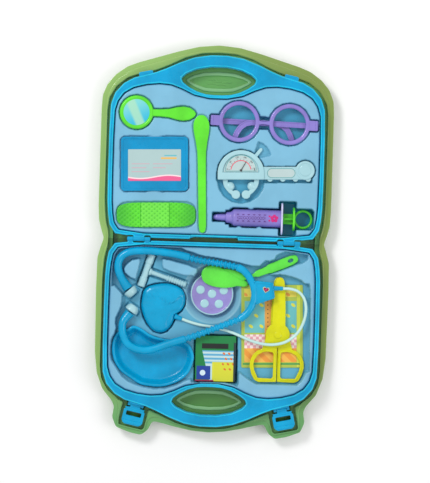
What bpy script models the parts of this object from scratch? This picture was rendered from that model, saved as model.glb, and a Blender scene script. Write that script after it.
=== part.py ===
"""Toy doctor set: a hinged two-half carry case, open flat in its display tray, with its instruments.

Metres, +Z up. The case lies on its back: the lid half towards +Y, the base half towards -Y, and the
hinge line along X through the origin. The underside of the display tray is at z = 0.
"""

import math

import bmesh
import bpy
from mathutils import Matrix
from mathutils import Vector

for old in list(bpy.data.objects):
    bpy.data.objects.remove(old, do_unlink=True)

# Fits
FIT_GAP = 0.0003
OVERRUN = 0.002
WELD = 0.000002
FLAT_DEGREES = 0.2
SELF_CROSSING = False

# Display tray
TRAY_SKIN = 0.0012
TRAY_DEPTH = 0.018
TRAY_HALF_WIDTH = 0.1425
TRAY_REACH = 0.240
TRAY_CLEARANCE = 0.003
TRAY_STEP = 0.0016
TRAY_STEP_WIDTH = 0.006
ISLAND_HEIGHT = 0.0115
ISLAND_CLEARANCE = 0.004
ISLAND_HOLLOW_SHARE = 0.9

# Case shells
CASE_HALF_WIDTH = 0.1315
CASE_REACH = 0.227
SHELL_DEPTH = 0.027
SHELL_WALL = 0.0024
SHELL_FLOOR = 0.002
SHELL_EDGE = 0.0024
RIM_HEIGHT = 0.004
HANDLE_HEIGHT = 0.015
HANDLE_EDGE = 0.002

# Hinge
KNUCKLE_RADIUS = 0.0027
PIN_RADIUS = 0.0012
HINGE_LENGTH = 0.027
OUTER_KNUCKLE = 0.0065
BRACKET_HEIGHT = 0.003

# Latches and the lugs that they catch
LATCH_WIDTH = 0.026
LATCH_LENGTH = 0.0250
LATCH_THICKNESS = 0.0025
LATCH_SLOT_WIDTH = 0.0185
LATCH_SLOT_LENGTH = 0.0052
LATCH_PIVOT_DROP = 0.008
LATCH_PIVOT_RADIUS = 0.0022
LATCH_GRIP = 0.0012
LATCH_CORNER = 0.004
LUG_WIDTH = 0.0175
LUG_REACH = 0.0045
LUG_HEIGHT = 0.0035
LUG_RISE = 0.003
LATCH_TILT_DEGREES = 12

# Light blue inserts
INSERT_SKIN = 0.001
INSERT_CLEARANCE = 0.0004
INSERT_DROP = 0.0023
BASE_SURFACE_RISE = 0.012
PLATEAU_RISE = 0.0105
POCKET_CLEARANCE = 0.0012
INSTRUMENT_DROP = 0.0006

# Hand mirror
MIRROR_RADIUS = 0.0207
MIRROR_GLASS_RADIUS = 0.0163
MIRROR_THICKNESS = 0.0055
MIRROR_GLASS = 0.0014
MIRROR_EDGE = 0.001
MIRROR_HANDLE = 0.0730
MIRROR_HANDLE_WIDTH = 0.0178

# Name card
PLATE_WIDTH = 0.0818
PLATE_LENGTH = 0.0662
PLATE_THICKNESS = 0.004
PLATE_CORNER = 0.004
PLATE_EDGE = 0.0008
LABEL_WIDTH = 0.0645
LABEL_LENGTH = 0.0385
LABEL_THICKNESS = 0.0006
LABEL_OFFSET = -0.0016

# Bandage strip
BANDAGE_LENGTH = 0.0965
BANDAGE_WIDTH = 0.0305
BANDAGE_THICKNESS = 0.0028
BANDAGE_PAD_LENGTH = 0.0345
BANDAGE_PAD_WIDTH = 0.0285
BANDAGE_PAD_RISE = 0.0012
BANDAGE_EDGE = 0.0006

# Tongue depressor
DEPRESSOR_WIDTH = 0.0198
DEPRESSOR_THICKNESS = 0.003
DEPRESSOR_EDGE = 0.0006

# Glasses
LENS_SPACING = 0.0616
LENS_OUTER = 0.0250
LENS_INNER = 0.0198
FRONT_THICKNESS = 0.0045
FRONT_EDGE = 0.0009
BRIDGE_WIDTH = 0.0055
GLASSES_HALF_WIDTH = 0.0655
END_LENGTH = 0.0130
END_WIDTH = 0.0125
TEMPLE_THICKNESS = 0.003
TEMPLE_WIDTH = 0.0068
TEMPLE_ROOT_WIDTH = 0.0048
TEMPLE_LENGTH = 0.0790
TEMPLE_HOOK = 0.0220
TEMPLE_KNUCKLE_RADIUS = 0.0022
TEMPLE_INSET = 0.0050
EAR_THICKNESS = 0.0026
EAR_LENGTH = 0.0060

# Gauge with two jaws
GAUGE_RADIUS = 0.0285
GAUGE_SKIRT = 0.0075
GAUGE_THICKNESS = 0.010
GAUGE_EDGE = 0.001
DIAL_RADIUS = 0.0205
DIAL_DEPTH = 0.0024
DIAL_THICKNESS = 0.0008
DIAL_RISE = 0.002
NEEDLE_LENGTH = 0.0125
NEEDLE_TAIL = 0.0025
NEEDLE_WIDTH = 0.0009
NEEDLE_THICKNESS = 0.0006
NEEDLE_HUB = 0.0014
NEEDLE_ANGLE_DEGREES = 59
GAUGE_GRIP_LENGTH = 0.0500
GAUGE_GRIP_WIDTH = 0.0158
GAUGE_GRIP_THICKNESS = 0.0075
GAUGE_GRIP_DROP = 0.0014
GAUGE_PAD_RADIUS = 0.0117
GAUGE_PAD_RISE = 0.0032
GAUGE_BUMP_RADIUS = 0.0036
GAUGE_BUMP_PITCH = 0.0155
GAUGE_BUMPS = 4
GRIP_LABEL_LENGTH = 0.0355
GRIP_LABEL_WIDTH = 0.0128
GRIP_LABEL_THICKNESS = 0.0006
LEVER_LENGTH = 0.0165
LEVER_WIDTH = 0.0046
LEVER_THICKNESS = 0.0030
LEVER_ROOT_RADIUS = 0.0034
LEVER_ANGLE_DEGREES = 50
LEVER_SWING_DEGREES = 14
JAW_RADIUS = 0.0192
JAW_WIDTH = 0.0062
JAW_THICKNESS = 0.005
JAW_BALL_RADIUS = 0.0056
JAW_END_GAP = 0.0013
JAW_SLOT_DEPTH = 0.0105

# Syringe
BARREL_RADIUS = 0.0108
BARREL_LENGTH = 0.0610
BARREL_WALL = 0.0016
CONE_RADIUS = 0.0072
CONE_LENGTH = 0.0085
NOZZLE_RADIUS = 0.0043
NOZZLE_LENGTH = 0.0155
NOZZLE_BORE = 0.0013
FLANGE_HALF_WIDTH = 0.0200
FLANGE_THICKNESS = 0.0022
PLUNGER_RIB = 0.0024
PLUNGER_ROD = 0.0064
PLUNGER_OUT = 0.0135
THUMB_HALF_WIDTH = 0.0146
THUMB_THICKNESS = 0.0026
RING_OUTER = 0.0116
RING_INNER = 0.0090
RING_THICKNESS = 0.0034
SEAL_LENGTH = 0.0065
SEAL_NECK = 0.0024
SEAL_CLEARANCE = 0.0004

# Stethoscope
ARM_RADIUS = 0.0047
RIB_DEPTH = 0.0011
RIBS = 12
EAR_TIP_RADIUS = 0.0083
EAR_TIP_LENGTH = 0.0085
EAR_TIP_END_SHARE = 0.62
ARM_FLARE_SHARE = 1.30
HORN_END_SHARE = 0.62
YOKE_THICKNESS = 0.0046
YOKE_EDGE = 0.0007
TUBE_RADIUS = 0.0018
NIPPLE_RADIUS = 0.0021
NIPPLE_LENGTH = 0.0030
CHEST_WIDTH = 0.0540
CHEST_LENGTH = 0.0610
CHEST_THICKNESS = 0.0120
CHEST_EDGE = 0.0040
DIAPHRAGM_RADIUS = 0.0170
DIAPHRAGM_THICKNESS = 0.0016
DIAPHRAGM_DROP = 0.0010

# Hammer
HAMMER_HEAD_LENGTH = 0.0415
HAMMER_HEAD_RADIUS = 0.0047
HAMMER_COLLAR_RADIUS = 0.0042
HAMMER_COLLAR_LENGTH = 0.0028
HAMMER_HANDLE_LENGTH = 0.0480
HAMMER_HANDLE_RADIUS = 0.0026
HAMMER_GRIP_RADIUS = 0.0037
HAMMER_GRIP_SHARE = 0.52
HAMMER_GRIP_RINGS = 5
HAMMER_TILT_DEGREES = -18

# Pill dish
PILL_RADIUS = 0.0264
PILL_HEIGHT = 0.0085
PILL_COVER_SKIN = 0.0016
PILL_HOLE_RADIUS = 0.0056
PILL_BOSS_RADIUS = 0.0052
PILL_RING_RADIUS = 0.0150
PILL_FLOOR = 0.0022
PILLS_AROUND = 5

# Spoon
BOWL_HALF_LENGTH = 0.0275
BOWL_HALF_WIDTH = 0.0122
BOWL_DEPTH = 0.0036
BOWL_WALL = 0.0014
SPOON_HANDLE_LENGTH = 0.0700
SPOON_HANDLE_WIDTH = 0.0120
SPOON_THICKNESS = 0.0024
SPOON_SLOT_LENGTH = 0.0072
SPOON_SLOT_WIDTH = 0.0042
SPOON_SLOT_INSET = 0.0095
SPOON_TILT_DEGREES = 23.5

# Scissors
BLADE_LENGTH = 0.0710
BLADE_WIDTH = 0.0165
BLADE_THICKNESS = 0.0024
BLADE_STAGGER = 0.0016
PIVOT_RADIUS = 0.0150
RIVET_RADIUS = 0.0030
RIVET_HEAD_RADIUS = 0.0048
RIVET_HEAD_HEIGHT = 0.0011
LOOP_REACH = 0.0334
LOOP_DROP = 0.0583
SHANK_WIDTH = 0.0130

# Picture card, medicine carton, kidney dish
CARD_WIDTH = 0.0755
CARD_LENGTH = 0.1015
CARD_THICKNESS = 0.0008
CARD_DROP = 0.0006
CARTON_WIDTH = 0.0496
CARTON_LENGTH = 0.0560
CARTON_HEIGHT = 0.0120
DISH_WIDTH = 0.1010
DISH_LENGTH = 0.0740
DISH_HEIGHT = 0.0130
DISH_WALL = 0.0018
DISH_LIP = 0.0026
DISH_LIP_HEIGHT = 0.0018

# Levels, from the floor up
CASE_BOTTOM = TRAY_SKIN + FIT_GAP
RIM_TOP = CASE_BOTTOM + SHELL_DEPTH
HINGE_LEVEL = RIM_TOP + FIT_GAP / 2
SHELL_INSIDE = CASE_BOTTOM + SHELL_FLOOR
DEEP_FLOOR = SHELL_INSIDE + FIT_GAP + INSERT_SKIN
DEEP_SEAT = DEEP_FLOOR + FIT_GAP
LID_SURFACE = RIM_TOP - INSERT_DROP
BASE_SURFACE = CASE_BOTTOM + BASE_SURFACE_RISE
PLATEAU = BASE_SURFACE + PLATEAU_RISE
LID_TOP = RIM_TOP - INSTRUMENT_DROP
CARD_SEAT = BASE_SURFACE - CARD_DROP + FIT_GAP
SCISSORS_SEAT = CARD_SEAT + CARD_THICKNESS + FIT_GAP
DISH_TOP = DEEP_SEAT + DISH_HEIGHT
ARM_LEVEL = DISH_TOP + FIT_GAP + ARM_RADIUS
PILL_TOP = DEEP_SEAT + PILL_HEIGHT
SPOON_SEAT = PILL_TOP + FIT_GAP
SPOON_TOP = SPOON_SEAT + BOWL_DEPTH
LATCH_LEVEL = RIM_TOP - LATCH_PIVOT_DROP

# The case's layout is written in these parts of its half width and of its reach from the hinge.
WIDTH_PARTS = 131.5
REACH_PARTS = 227
TRAY_WIDTH_PARTS = 142.5
TRAY_REACH_PARTS = 240

RIM_SHARES = [
    (0, 227), (20, 226), (40, 220.5), (58, 211.5), (72, 205.5), (82, 202), (97, 198.5), (109, 194.5),
    (122, 184), (129.5, 171), (131.5, 156), (131.5, 52), (130.6, 37), (129.3, 23), (126.3, 10), (115, 1.7),
    (0, 1.7),
]
PAN_SHARES = [
    (0, 176.3), (21, 176.9), (36, 183.6), (50, 190.5), (64, 193.6), (80, 192.8), (97, 190), (112, 184.3),
    (121.8, 175), (127.2, 163), (129, 150), (129, 52), (128, 37), (126.6, 24), (123.5, 12), (113, 4.3),
    (0, 4.3),
]
HOLE_SHARES = [
    (0, 213), (20, 211.5), (35, 206.6), (45, 200), (46.4, 195.5), (41, 190), (31, 184), (20, 179.4),
    (10, 178.2), (0, 178),
]
HANDLE_SHARES = [
    (0, 227), (20, 226), (40, 220.5), (58, 211.5), (72, 205.5), (82, 202), (86, 190), (64, 187),
    (40, 178), (0, 171),
]
TRAY_LID_SHARES = [
    (0, 240), (25, 237.6), (50, 231.2), (75, 223.5), (98, 216.5), (112, 211), (126, 201), (136, 189),
    (141.5, 175), (142.5, 158), (142.5, 40), (141.5, 22), (138.5, 11), (134.8, 0),
]
TRAY_BASE_SHARES = [
    (134.8, 0), (138.2, -10), (142, -24), (142.5, -60), (141.5, -140), (138.5, -165), (131, -185),
    (119, -199), (116, -206), (118, -219), (113, -231), (96, -237.3), (82, -240), (74, -234),
    (68.5, -223), (62, -223.5), (40, -229), (20, -233), (0, -234.5),
]
HINGE_PLACE_SHARES = (91.5, 0)
LATCH_PLACE_SHARES = (88.5, 200.5)

MIRROR_PLACE_SHARES = (-99.1, 154.4)
PLATE_PLACE_SHARES = (-75.2, 92.1)
BANDAGE_PLACE_SHARES = (-71.4, 30)
DEPRESSOR_PLACE_SHARES = (-20.0, 153.2)
DEPRESSOR_REACH_SHARES = (0, 143.5)
GLASSES_PLACE_SHARES = (57.2, 146)
GAUGE_PLACE_SHARES = (30.5, 83.6)
SYRINGE_PLACE_SHARES = (22.4, 29.8)
HAMMER_PLACE_SHARES = (-81.6, -38.4)
PILL_PLACE_SHARES = (-0.2, -64.6)
SPOON_PLACE_SHARES = (13.2, -45)
SCISSORS_PLACE_SHARES = (81.8, -112.4)
CARD_PLACE_SHARES = (74.7, -102.1)
CARTON_PLACE_SHARES = (6.6, -143.8)
DISH_PLACE_SHARES = (-70.4, -143.3)
CHEST_PLACE_SHARES = (-59.6, -84)
YOKE_PLACE_SHARES = (66, -60)
SET_TILT_DEGREES = 1.8
GLASSES_TILT_DEGREES = -1.6
CARTON_TILT_DEGREES = 0.5
DEPRESSOR_TILT_DEGREES = 2.3

# Centre lines of the headset, in the same parts of the case
UPPER_ARM_SHARES = [
    (-105, -57.5), (-110.5, -50), (-115, -40), (-115.6, -30), (-112.4, -22.6), (-106, -17.6),
    (-98, -15.2), (-88.5, -14.3), (-77, -14.2), (-65, -15), (-53, -16.3), (-40, -18.4), (-30, -20.8),
]
UPPER_RIB_SHARES = [(-30, -20.8), (-18, -23.8), (-4, -25.7), (13, -27.8), (30, -30.9)]
UPPER_HORN_SHARES = [(30, -30.9), (37.5, -33.8), (44.6, -41), (49.6, -49), (54.5, -55), (60, -58)]
LOWER_ARM_SHARES = [
    (-102.8, -92.5), (-107.2, -100.5), (-108.6, -109), (-106.8, -119), (-102.5, -127.5), (-95.5, -132.7),
    (-87, -135.2), (-79, -135.6), (-71, -134.2), (-61.5, -130.9), (-52, -127.2), (-42, -123.8),
    (-32, -120.7),
]
LOWER_RIB_SHARES = [(-32, -120.7), (-19, -116), (-1.2, -108.9), (17, -101.5), (34.9, -94)]
LOWER_HORN_SHARES = [(34.9, -94), (41, -88), (46.5, -80.5), (50, -73.5), (54.5, -67), (60, -63)]
UPPER_TIP_SHARES = [(-101.7, -62.6), (-96.4, -68.4)]
LOWER_TIP_SHARES = [(-98.9, -88.8), (-94.3, -82)]
YOKE_SHARES = [(52.9, -47.5), (75.6, -49.8), (76.4, -67.2), (56.2, -72.4), (53.4, -60)]

# Raised fields of the base's insert between the instruments, in the same parts
PLATEAU_SHARES = [
    [
        (-39.8, -4), (-39.4, -10), (-34, -12.6), (-24, -15.2), (-18.5, -17.4), (-10, -19.2), (0, -20.2),
        (14.4, -22.4), (29, -25.2), (44.5, -28.7), (52.4, -29.5), (57.2, -29.3), (61.3, -24.5),
        (64.8, -21.9), (68.7, -22.6), (75.5, -20.2), (77.2, -15.8), (82.9, -12.4), (91, -9.4), (93, -4),
    ],
    [
        (109, -4), (111, -8.2), (116, -12.8), (115.2, -18.7), (109.5, -23), (101, -25.6), (97.1, -27.8),
        (82.6, -33.9), (68.3, -39.3), (75.5, -38.9), (81.8, -38.5), (88, -39), (96, -40.8),
        (103, -42.8), (109, -45.2), (112, -48.6), (118.3, -48.7), (119.8, -58.2), (121, -104.5),
        (121.7, -155.4), (117, -157.6), (114.4, -163), (111.3, -168.5), (106.5, -172.8), (58, -172.9),
        (52.2, -170), (46, -166.2), (41, -162.5), (37, -159.6), (35.4, -158.1), (34.9, -173.8),
        (30, -182), (40, -196), (134, -196), (134, -4),
    ],
    [
        (-134, -62), (-119.9, -57.4), (-113.6, -63.4), (-109.4, -68.5), (-109.9, -73.9), (-110.6, -82.5),
        (-113.4, -89.9), (-116.9, -97.9), (-117.2, -103.4), (-115.6, -109.4), (-118, -117.4),
        (-121.3, -123), (-122.6, -132.6), (-122.6, -141), (-121.2, -148), (-118, -153.1), (-114, -158.4),
        (-110.4, -164.1), (-105.8, -169.4), (-99, -174.3), (-90.5, -177.9), (-81, -180.6), (-67.7, -182.4),
        (-53.9, -181.6), (-40, -177), (-30.7, -171.9), (-23.4, -169), (-21.5, -173), (-21.5, -196),
        (-134, -196),
    ],
    [
        (-134, -25), (-122.4, -23.6), (-119.8, -18.6), (-116, -14.1), (-111.6, -10.6), (-106.6, -8.4),
        (-104, -4), (-134, -4),
    ],
    [
        (-109.2, -37.1), (-106, -31.5), (-99, -25.9), (-89.5, -23.8), (-88.8, -28.3), (-93.8, -50),
        (-101, -47.6), (-107.8, -42),
    ],
    [
        (-62.1, -23.4), (-53.1, -24.4), (-44, -26.9), (-30.6, -29.8), (-25.1, -32.2), (-18.8, -33.6),
        (-19, -39.4), (-22.8, -43.6), (-36.3, -42.8), (-51.6, -39), (-61, -35.2), (-62.7, -29.4),
    ],
]

# Outlines of single pieces, in parts of their own sizes
MIRROR_HANDLE_PARTS = (76.5, 17.8)
MIRROR_HANDLE_SHARES = [(18.6, 4.4), (30, 4.5), (42, 5.4), (52, 7.9), (60, 8.9), (68, 7.6), (74, 4), (76.5, 0)]
DEPRESSOR_PARTS = (147, 19.8)
DEPRESSOR_SHARES = [
    (0, 2.6), (1.6, 5.2), (4.8, 7.8), (9.5, 9.5), (15, 9.9), (22, 9.3), (33, 7.2), (46, 5.4), (62, 5), (138, 4.6),
    (144.5, 3.7), (147, 1.8),
]
CHEST_PARTS = (54, 61)
CHEST_SHARES = [
    (-26.8, 9.6), (-24.7, 20.6), (-20, 25.7), (-10.4, 29), (1.8, 30.6), (14, 28.6), (22.7, 23.4),
    (26.6, 14.9), (26.3, 5.2), (22.3, -2.3), (16.4, -7.3), (14, -13.5), (10.7, -20.9), (4.8, -27.8),
    (-2.4, -30.5), (-11, -28.3), (-18.6, -20.6), (-23.7, -11), (-27, -0.2),
]
CHEST_EXIT_SHARES = (14.2, -9.4)
DISH_PARTS = (101, 74)
DISH_SHARES = [
    (-34.4, 31.8), (-24.8, 36.9), (-14.9, 33.6), (-3.7, 26.6), (8.6, 22.7), (20.8, 21.3), (33, 21.1),
    (42.9, 17.1), (48, 10), (50.5, 0.3), (48.6, -9.5), (44, -19.4), (34.6, -28.3), (22.5, -34.1),
    (10.4, -36.9), (-1.8, -36.7), (-14, -34.7), (-26.4, -27.7), (-38.9, -19), (-46.6, -7.6), (-50, 4.5),
    (-49.8, 16.6), (-46.4, 25.3), (-41.6, 30.3),
]
SPOON_HANDLE_PARTS = (70, 12)
SPOON_HANDLE_SHARES = [
    (0, 1.5), (6, 1.6), (13, 2.2), (16, 4), (24, 4.3), (30, 4.6), (33, 5.7), (50, 6), (62, 5.8), (68, 4.4),
    (70, 2),
]
BLADE_PARTS = (71, 16.5)
LOOP_PARTS = (33.4, 58.3)
LOOP_SHARES = [
    (0.3, -14), (9, -16.4), (17, -17), (24.4, -19.6), (29.7, -24.7), (32.9, -32), (33.4, -39.7), (30.9, -49),
    (27.1, -55.8), (22, -58.3), (0.3, -57.6),
]
LOOP_HOLE_SHARES = [
    (4.5, -24), (5.4, -21.7), (11.2, -20.6), (17.1, -21.4), (23.6, -25.2), (27.5, -31.2), (28.7, -36.9),
    (27.4, -43.5), (23, -53), (6.4, -53.4), (4.7, -51.3),
]
BLADE_SHARES = [(0, 8.2), (25, 8.2), (50, 7.2), (64, 6.2), (69, 4.6), (71, 1.8)]

# Free tube of the stethoscope: its route from the chest piece to the yoke
TUBE_ROUTE = [
    (-0.0360, -0.0966, 0.0158), (-0.0260, -0.1000, 0.0158), (-0.0140, -0.1030, 0.0158),
    (0.0000, -0.1049, 0.0158), (0.0100, -0.1068, 0.0158), (0.0190, -0.1090, 0.0162),
    (0.0300, -0.1126, 0.0186), (0.0400, -0.1166, 0.0212), (0.0500, -0.1204, 0.0228),
    (0.0620, -0.1234, 0.0232), (0.0745, -0.1242, 0.0232), (0.0870, -0.1220, 0.0232),
    (0.0966, -0.1172, 0.0232), (0.1055, -0.1090, 0.0232), (0.1115, -0.0985, 0.0232),
    (0.1148, -0.0864, 0.0232), (0.1148, -0.0745, 0.0232), (0.1112, -0.0645, 0.0232),
    (0.1040, -0.0578, 0.0232), (0.0945, -0.0553, 0.0232), (0.0865, -0.0552, 0.0232),
]
TUBE_POINTS = 36
ARM_POINTS = 20
ARM_RISE_POINTS = 3

# Counts
ROUND_STEPS = 20
SMALL_STEPS = 10
POCKET_STEPS = 16
CORNER_STEPS = 1


def collection(name):
    made = bpy.data.collections.new(name)
    bpy.context.scene.collection.children.link(made)
    return made


PARTS = collection("toy_doctor_set")
CUTTERS = collection("cutters")


def material(name, colour, roughness, metallic=0.0):
    made = bpy.data.materials.new(name)
    made.use_nodes = True
    made.diffuse_color = (*colour, 1.0)
    shader = made.node_tree.nodes["Principled BSDF"]
    shader.inputs["Base Color"].default_value = (*colour, 1.0)
    shader.inputs["Roughness"].default_value = roughness
    shader.inputs["Metallic"].default_value = metallic
    return made


CASE_BLUE = material("case_blue", (0.0, 0.36, 0.72), 0.30)
TOY_BLUE = material("toy_blue", (0.01, 0.42, 0.78), 0.28)
INSERT_BLUE = material("insert_blue", (0.24, 0.50, 0.66), 0.38)
TRAY_GREEN = material("tray_green", (0.34, 0.48, 0.13), 0.25)
LIME = material("lime", (0.16, 0.66, 0.05), 0.30)
PURPLE = material("purple", (0.36, 0.28, 0.66), 0.32)
SOFT_WHITE = material("soft_white", (0.56, 0.80, 0.80), 0.32)
YELLOW = material("yellow", (0.74, 0.72, 0.03), 0.30)
PAPER = material("paper", (0.62, 0.72, 0.70), 0.70)
CARD_TONE = material("card_tone", (0.55, 0.62, 0.12), 0.65)
GLASS = material("glass", (0.62, 0.72, 0.74), 0.05)
RUBBER = material("rubber", (0.03, 0.03, 0.035), 0.60)
INK = material("ink", (0.05, 0.06, 0.07), 0.50)


def place(share):
    """A point of the layout, in metres."""
    return Vector((share[0] * CASE_HALF_WIDTH / WIDTH_PARTS, share[1] * CASE_REACH / REACH_PARTS))


def places(shares):
    return [place(share) for share in shares]


def sized(shares, sizes, parts):
    return [Vector((x * sizes[0] / parts[0], y * sizes[1] / parts[1])) for x, y in shares]


def turned_about(points, degrees, centre):
    turn = Matrix.Rotation(math.radians(degrees), 2)
    return [turn @ Vector(point) + Vector(centre) for point in points]


def both_sides(half):
    """A half outline from the centre line round to the centre line again, and its mirror image."""
    other = [Vector((-point[0], point[1])) for point in reversed(half) if abs(point[0]) > WELD]
    return [Vector(point) for point in half] + other


def both_edges(half):
    """An outline along +X from its upper edge, closed by the mirror image of that edge."""
    other = [Vector((point[0], -point[1])) for point in reversed(half) if abs(point[1]) > WELD]
    return [Vector(point) for point in half] + other


def turns_left(points):
    area = 0.0
    for index, point in enumerate(points):
        area += points[index - 1][0] * point[1] - point[0] * points[index - 1][1]
    return area > 0


def softened(points, cut, steps=CORNER_STEPS):
    """Corners cut back by at most the given length and rounded with a parabola."""
    count = len(points)
    result = []
    for index in range(count):
        here = Vector(points[index])
        back = Vector(points[index - 1]) - here
        on = Vector(points[(index + 1) % count]) - here
        start = here + back.normalized() * min(cut, back.length / 2)
        finish = here + on.normalized() * min(cut, on.length / 2)
        for step in range(steps + 1):
            t = step / steps
            point = start * (1 - t) ** 2 + here * 2 * t * (1 - t) + finish * t * t
            if not result or (point - result[-1]).length > FIT_GAP / 2:
                result.append(point)
    if (result[0] - result[-1]).length < FIT_GAP / 2:
        result.pop()
    return result


def grown(points, distance):
    """An outline moved outwards all round, with mitred corners."""
    points = [Vector(point) for point in points]
    if not turns_left(points):
        points.reverse()
    result = []
    for index, here in enumerate(points):
        back = (here - points[index - 1]).normalized()
        on = (points[(index + 1) % len(points)] - here).normalized()
        normal = Vector((back.y + on.y, -back.x - on.x))
        if normal.length < WELD:
            normal = Vector((on.y, -on.x))
        normal.normalize()
        spread = max(1 / 2, normal.dot(Vector((on.y, -on.x))))
        result.append(here + normal * distance / spread)
    return result


def circle(radius, centre=(0, 0), steps=ROUND_STEPS):
    return ellipse(radius, radius, centre, steps)


def ellipse(half_x, half_y, centre=(0, 0), steps=ROUND_STEPS):
    points = []
    for step in range(steps):
        angle = 2 * math.pi * step / steps
        points.append(Vector((centre[0] + half_x * math.cos(angle), centre[1] + half_y * math.sin(angle))))
    return points


def rectangle(width, length, centre=(0, 0), corner=0.0, steps=CORNER_STEPS):
    x = width / 2
    y = length / 2
    points = [Vector((-x, -y)), Vector((x, -y)), Vector((x, y)), Vector((-x, y))]
    points = [point + Vector(centre) for point in points]
    return softened(points, corner, steps) if corner else points


def strip(path, widths):
    """The outline of a band of changing width along a path."""
    left = []
    right = []
    for index, point in enumerate(path):
        before = Vector(path[max(index - 1, 0)])
        after = Vector(path[min(index + 1, len(path) - 1)])
        along = (after - before).normalized()
        side = Vector((-along.y, along.x)) * widths[index] / 2
        left.append(Vector(point) + side)
        right.append(Vector(point) - side)
    return right + left[::-1]


def spline_points(route, count):
    """Points at even steps along a smooth curve through the route's own points."""
    route = [Vector(point) for point in route]
    fine = []
    for index in range(len(route) - 1):
        p0 = route[max(index - 1, 0)]
        p1 = route[index]
        p2 = route[index + 1]
        p3 = route[min(index + 2, len(route) - 1)]
        for step in range(8):
            t = step / 8
            fine.append(
                p1 * (2 * t ** 3 - 3 * t ** 2 + 1)
                + p2 * (3 * t ** 2 - 2 * t ** 3)
                + (p2 - p0) / 2 * (t ** 3 - 2 * t ** 2 + t)
                + (p3 - p1) / 2 * (t ** 3 - t ** 2)
            )
    fine.append(route[-1])
    lengths = [0.0]
    for index in range(1, len(fine)):
        lengths.append(lengths[-1] + (fine[index] - fine[index - 1]).length)
    result = []
    index = 0
    for step in range(count):
        wanted = lengths[-1] * step / (count - 1)
        while index < len(fine) - 2 and lengths[index + 1] < wanted:
            index += 1
        span = lengths[index + 1] - lengths[index]
        t = (wanted - lengths[index]) / span if span else 0.0
        result.append(fine[index].lerp(fine[index + 1], min(max(t, 0.0), 1.0)))
    return result


def tidy(mesh):
    work = bmesh.new()
    work.from_mesh(mesh)
    bmesh.ops.remove_doubles(work, verts=work.verts, dist=WELD)
    bmesh.ops.dissolve_degenerate(work, edges=work.edges, dist=WELD)
    bmesh.ops.dissolve_limit(work, angle_limit=math.radians(FLAT_DEGREES), verts=work.verts, edges=work.edges)
    bmesh.ops.recalc_face_normals(work, faces=work.faces)
    work.to_mesh(mesh)
    work.free()


def as_mesh(source, name):
    """The evaluated object as a plain mesh object in place of its source."""
    graph = bpy.context.evaluated_depsgraph_get()
    mesh = bpy.data.meshes.new_from_object(source.evaluated_get(graph))
    mesh.transform(source.matrix_world)
    made = bpy.data.objects.new(name, mesh)
    PARTS.objects.link(made)
    bpy.data.objects.remove(source, do_unlink=True)
    tidy(mesh)
    return made


def slab(name, outlines, low, high, edge=0.0, rounds=0):
    """A flat piece from closed outlines; those after the first are holes."""
    curve = bpy.data.curves.new(name, "CURVE")
    curve.dimensions = "2D"
    curve.fill_mode = "BOTH"
    curve.extrude = (high - low) / 2 - edge
    curve.bevel_depth = edge
    curve.bevel_resolution = rounds
    curve.offset = -edge
    for outline in outlines:
        spline = curve.splines.new("POLY")
        spline.points.add(len(outline) - 1)
        spline.use_cyclic_u = True
        for target, point in zip(spline.points, outline):
            target.co = (point[0], point[1], 0.0, 1.0)
    source = bpy.data.objects.new(name, curve)
    PARTS.objects.link(source)
    source.location = (0.0, 0.0, (low + high) / 2)
    bpy.context.view_layer.update()
    return as_mesh(source, name)


def pipe(name, points, radii, rounds=2):
    """A round bar along points, with its own radius at each of them."""
    curve = bpy.data.curves.new(name, "CURVE")
    curve.dimensions = "3D"
    curve.bevel_depth = max(radii)
    curve.bevel_resolution = rounds
    curve.use_fill_caps = True
    spline = curve.splines.new("POLY")
    spline.points.add(len(points) - 1)
    for target, point, radius in zip(spline.points, points, radii):
        target.co = (point[0], point[1], point[2], 1.0)
        target.radius = radius / max(radii)
    source = bpy.data.objects.new(name, curve)
    PARTS.objects.link(source)
    return as_mesh(source, name)


def turned(name, profile, matrix=None, steps=ROUND_STEPS):
    """A profile of (radius, height) points, top to bottom, turned about Z and then placed."""
    mesh = bpy.data.meshes.new(name)
    work = bmesh.new()
    points = [work.verts.new((radius, 0.0, height)) for radius, height in profile]
    for first, second in zip(points, points[1:]):
        work.edges.new((first, second))
    if profile[0][0] > 0:
        work.edges.new((points[-1], points[0]))
    work.to_mesh(mesh)
    work.free()
    source = bpy.data.objects.new(name, mesh)
    PARTS.objects.link(source)
    screw = source.modifiers.new("turn", "SCREW")
    screw.steps = steps
    screw.render_steps = steps
    screw.use_merge_vertices = True
    screw.merge_threshold = WELD
    source.matrix_world = matrix if matrix else Matrix.Identity(4)
    bpy.context.view_layer.update()
    return as_mesh(source, name)


def block(name, low, high):
    """A box between two corners."""
    mesh = bpy.data.meshes.new(name)
    work = bmesh.new()
    bmesh.ops.create_cube(work, size=1.0)
    size = [b - a for a, b in zip(low, high)]
    middle = [(a + b) / 2 for a, b in zip(low, high)]
    bmesh.ops.scale(work, vec=size, verts=work.verts)
    bmesh.ops.translate(work, vec=middle, verts=work.verts)
    work.to_mesh(mesh)
    work.free()
    made = bpy.data.objects.new(name, mesh)
    PARTS.objects.link(made)
    return made


def combine(target, tools, operation):
    for tool in tools:
        change = target.modifiers.new(operation.lower(), "BOOLEAN")
        change.operation = operation
        change.solver = "EXACT"
        change.use_self = SELF_CROSSING
        change.object = tool
        graph = bpy.context.evaluated_depsgraph_get()
        mesh = bpy.data.meshes.new_from_object(target.evaluated_get(graph))
        target.modifiers.clear()
        target.data = mesh
        bpy.data.objects.remove(tool, do_unlink=True)
        tidy(mesh)
    return target


def join(target, *tools):
    return combine(target, tools, "UNION")


def cut(target, *tools):
    return combine(target, tools, "DIFFERENCE")


def moved(piece, matrix):
    piece.data.transform(matrix)
    return piece


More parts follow.
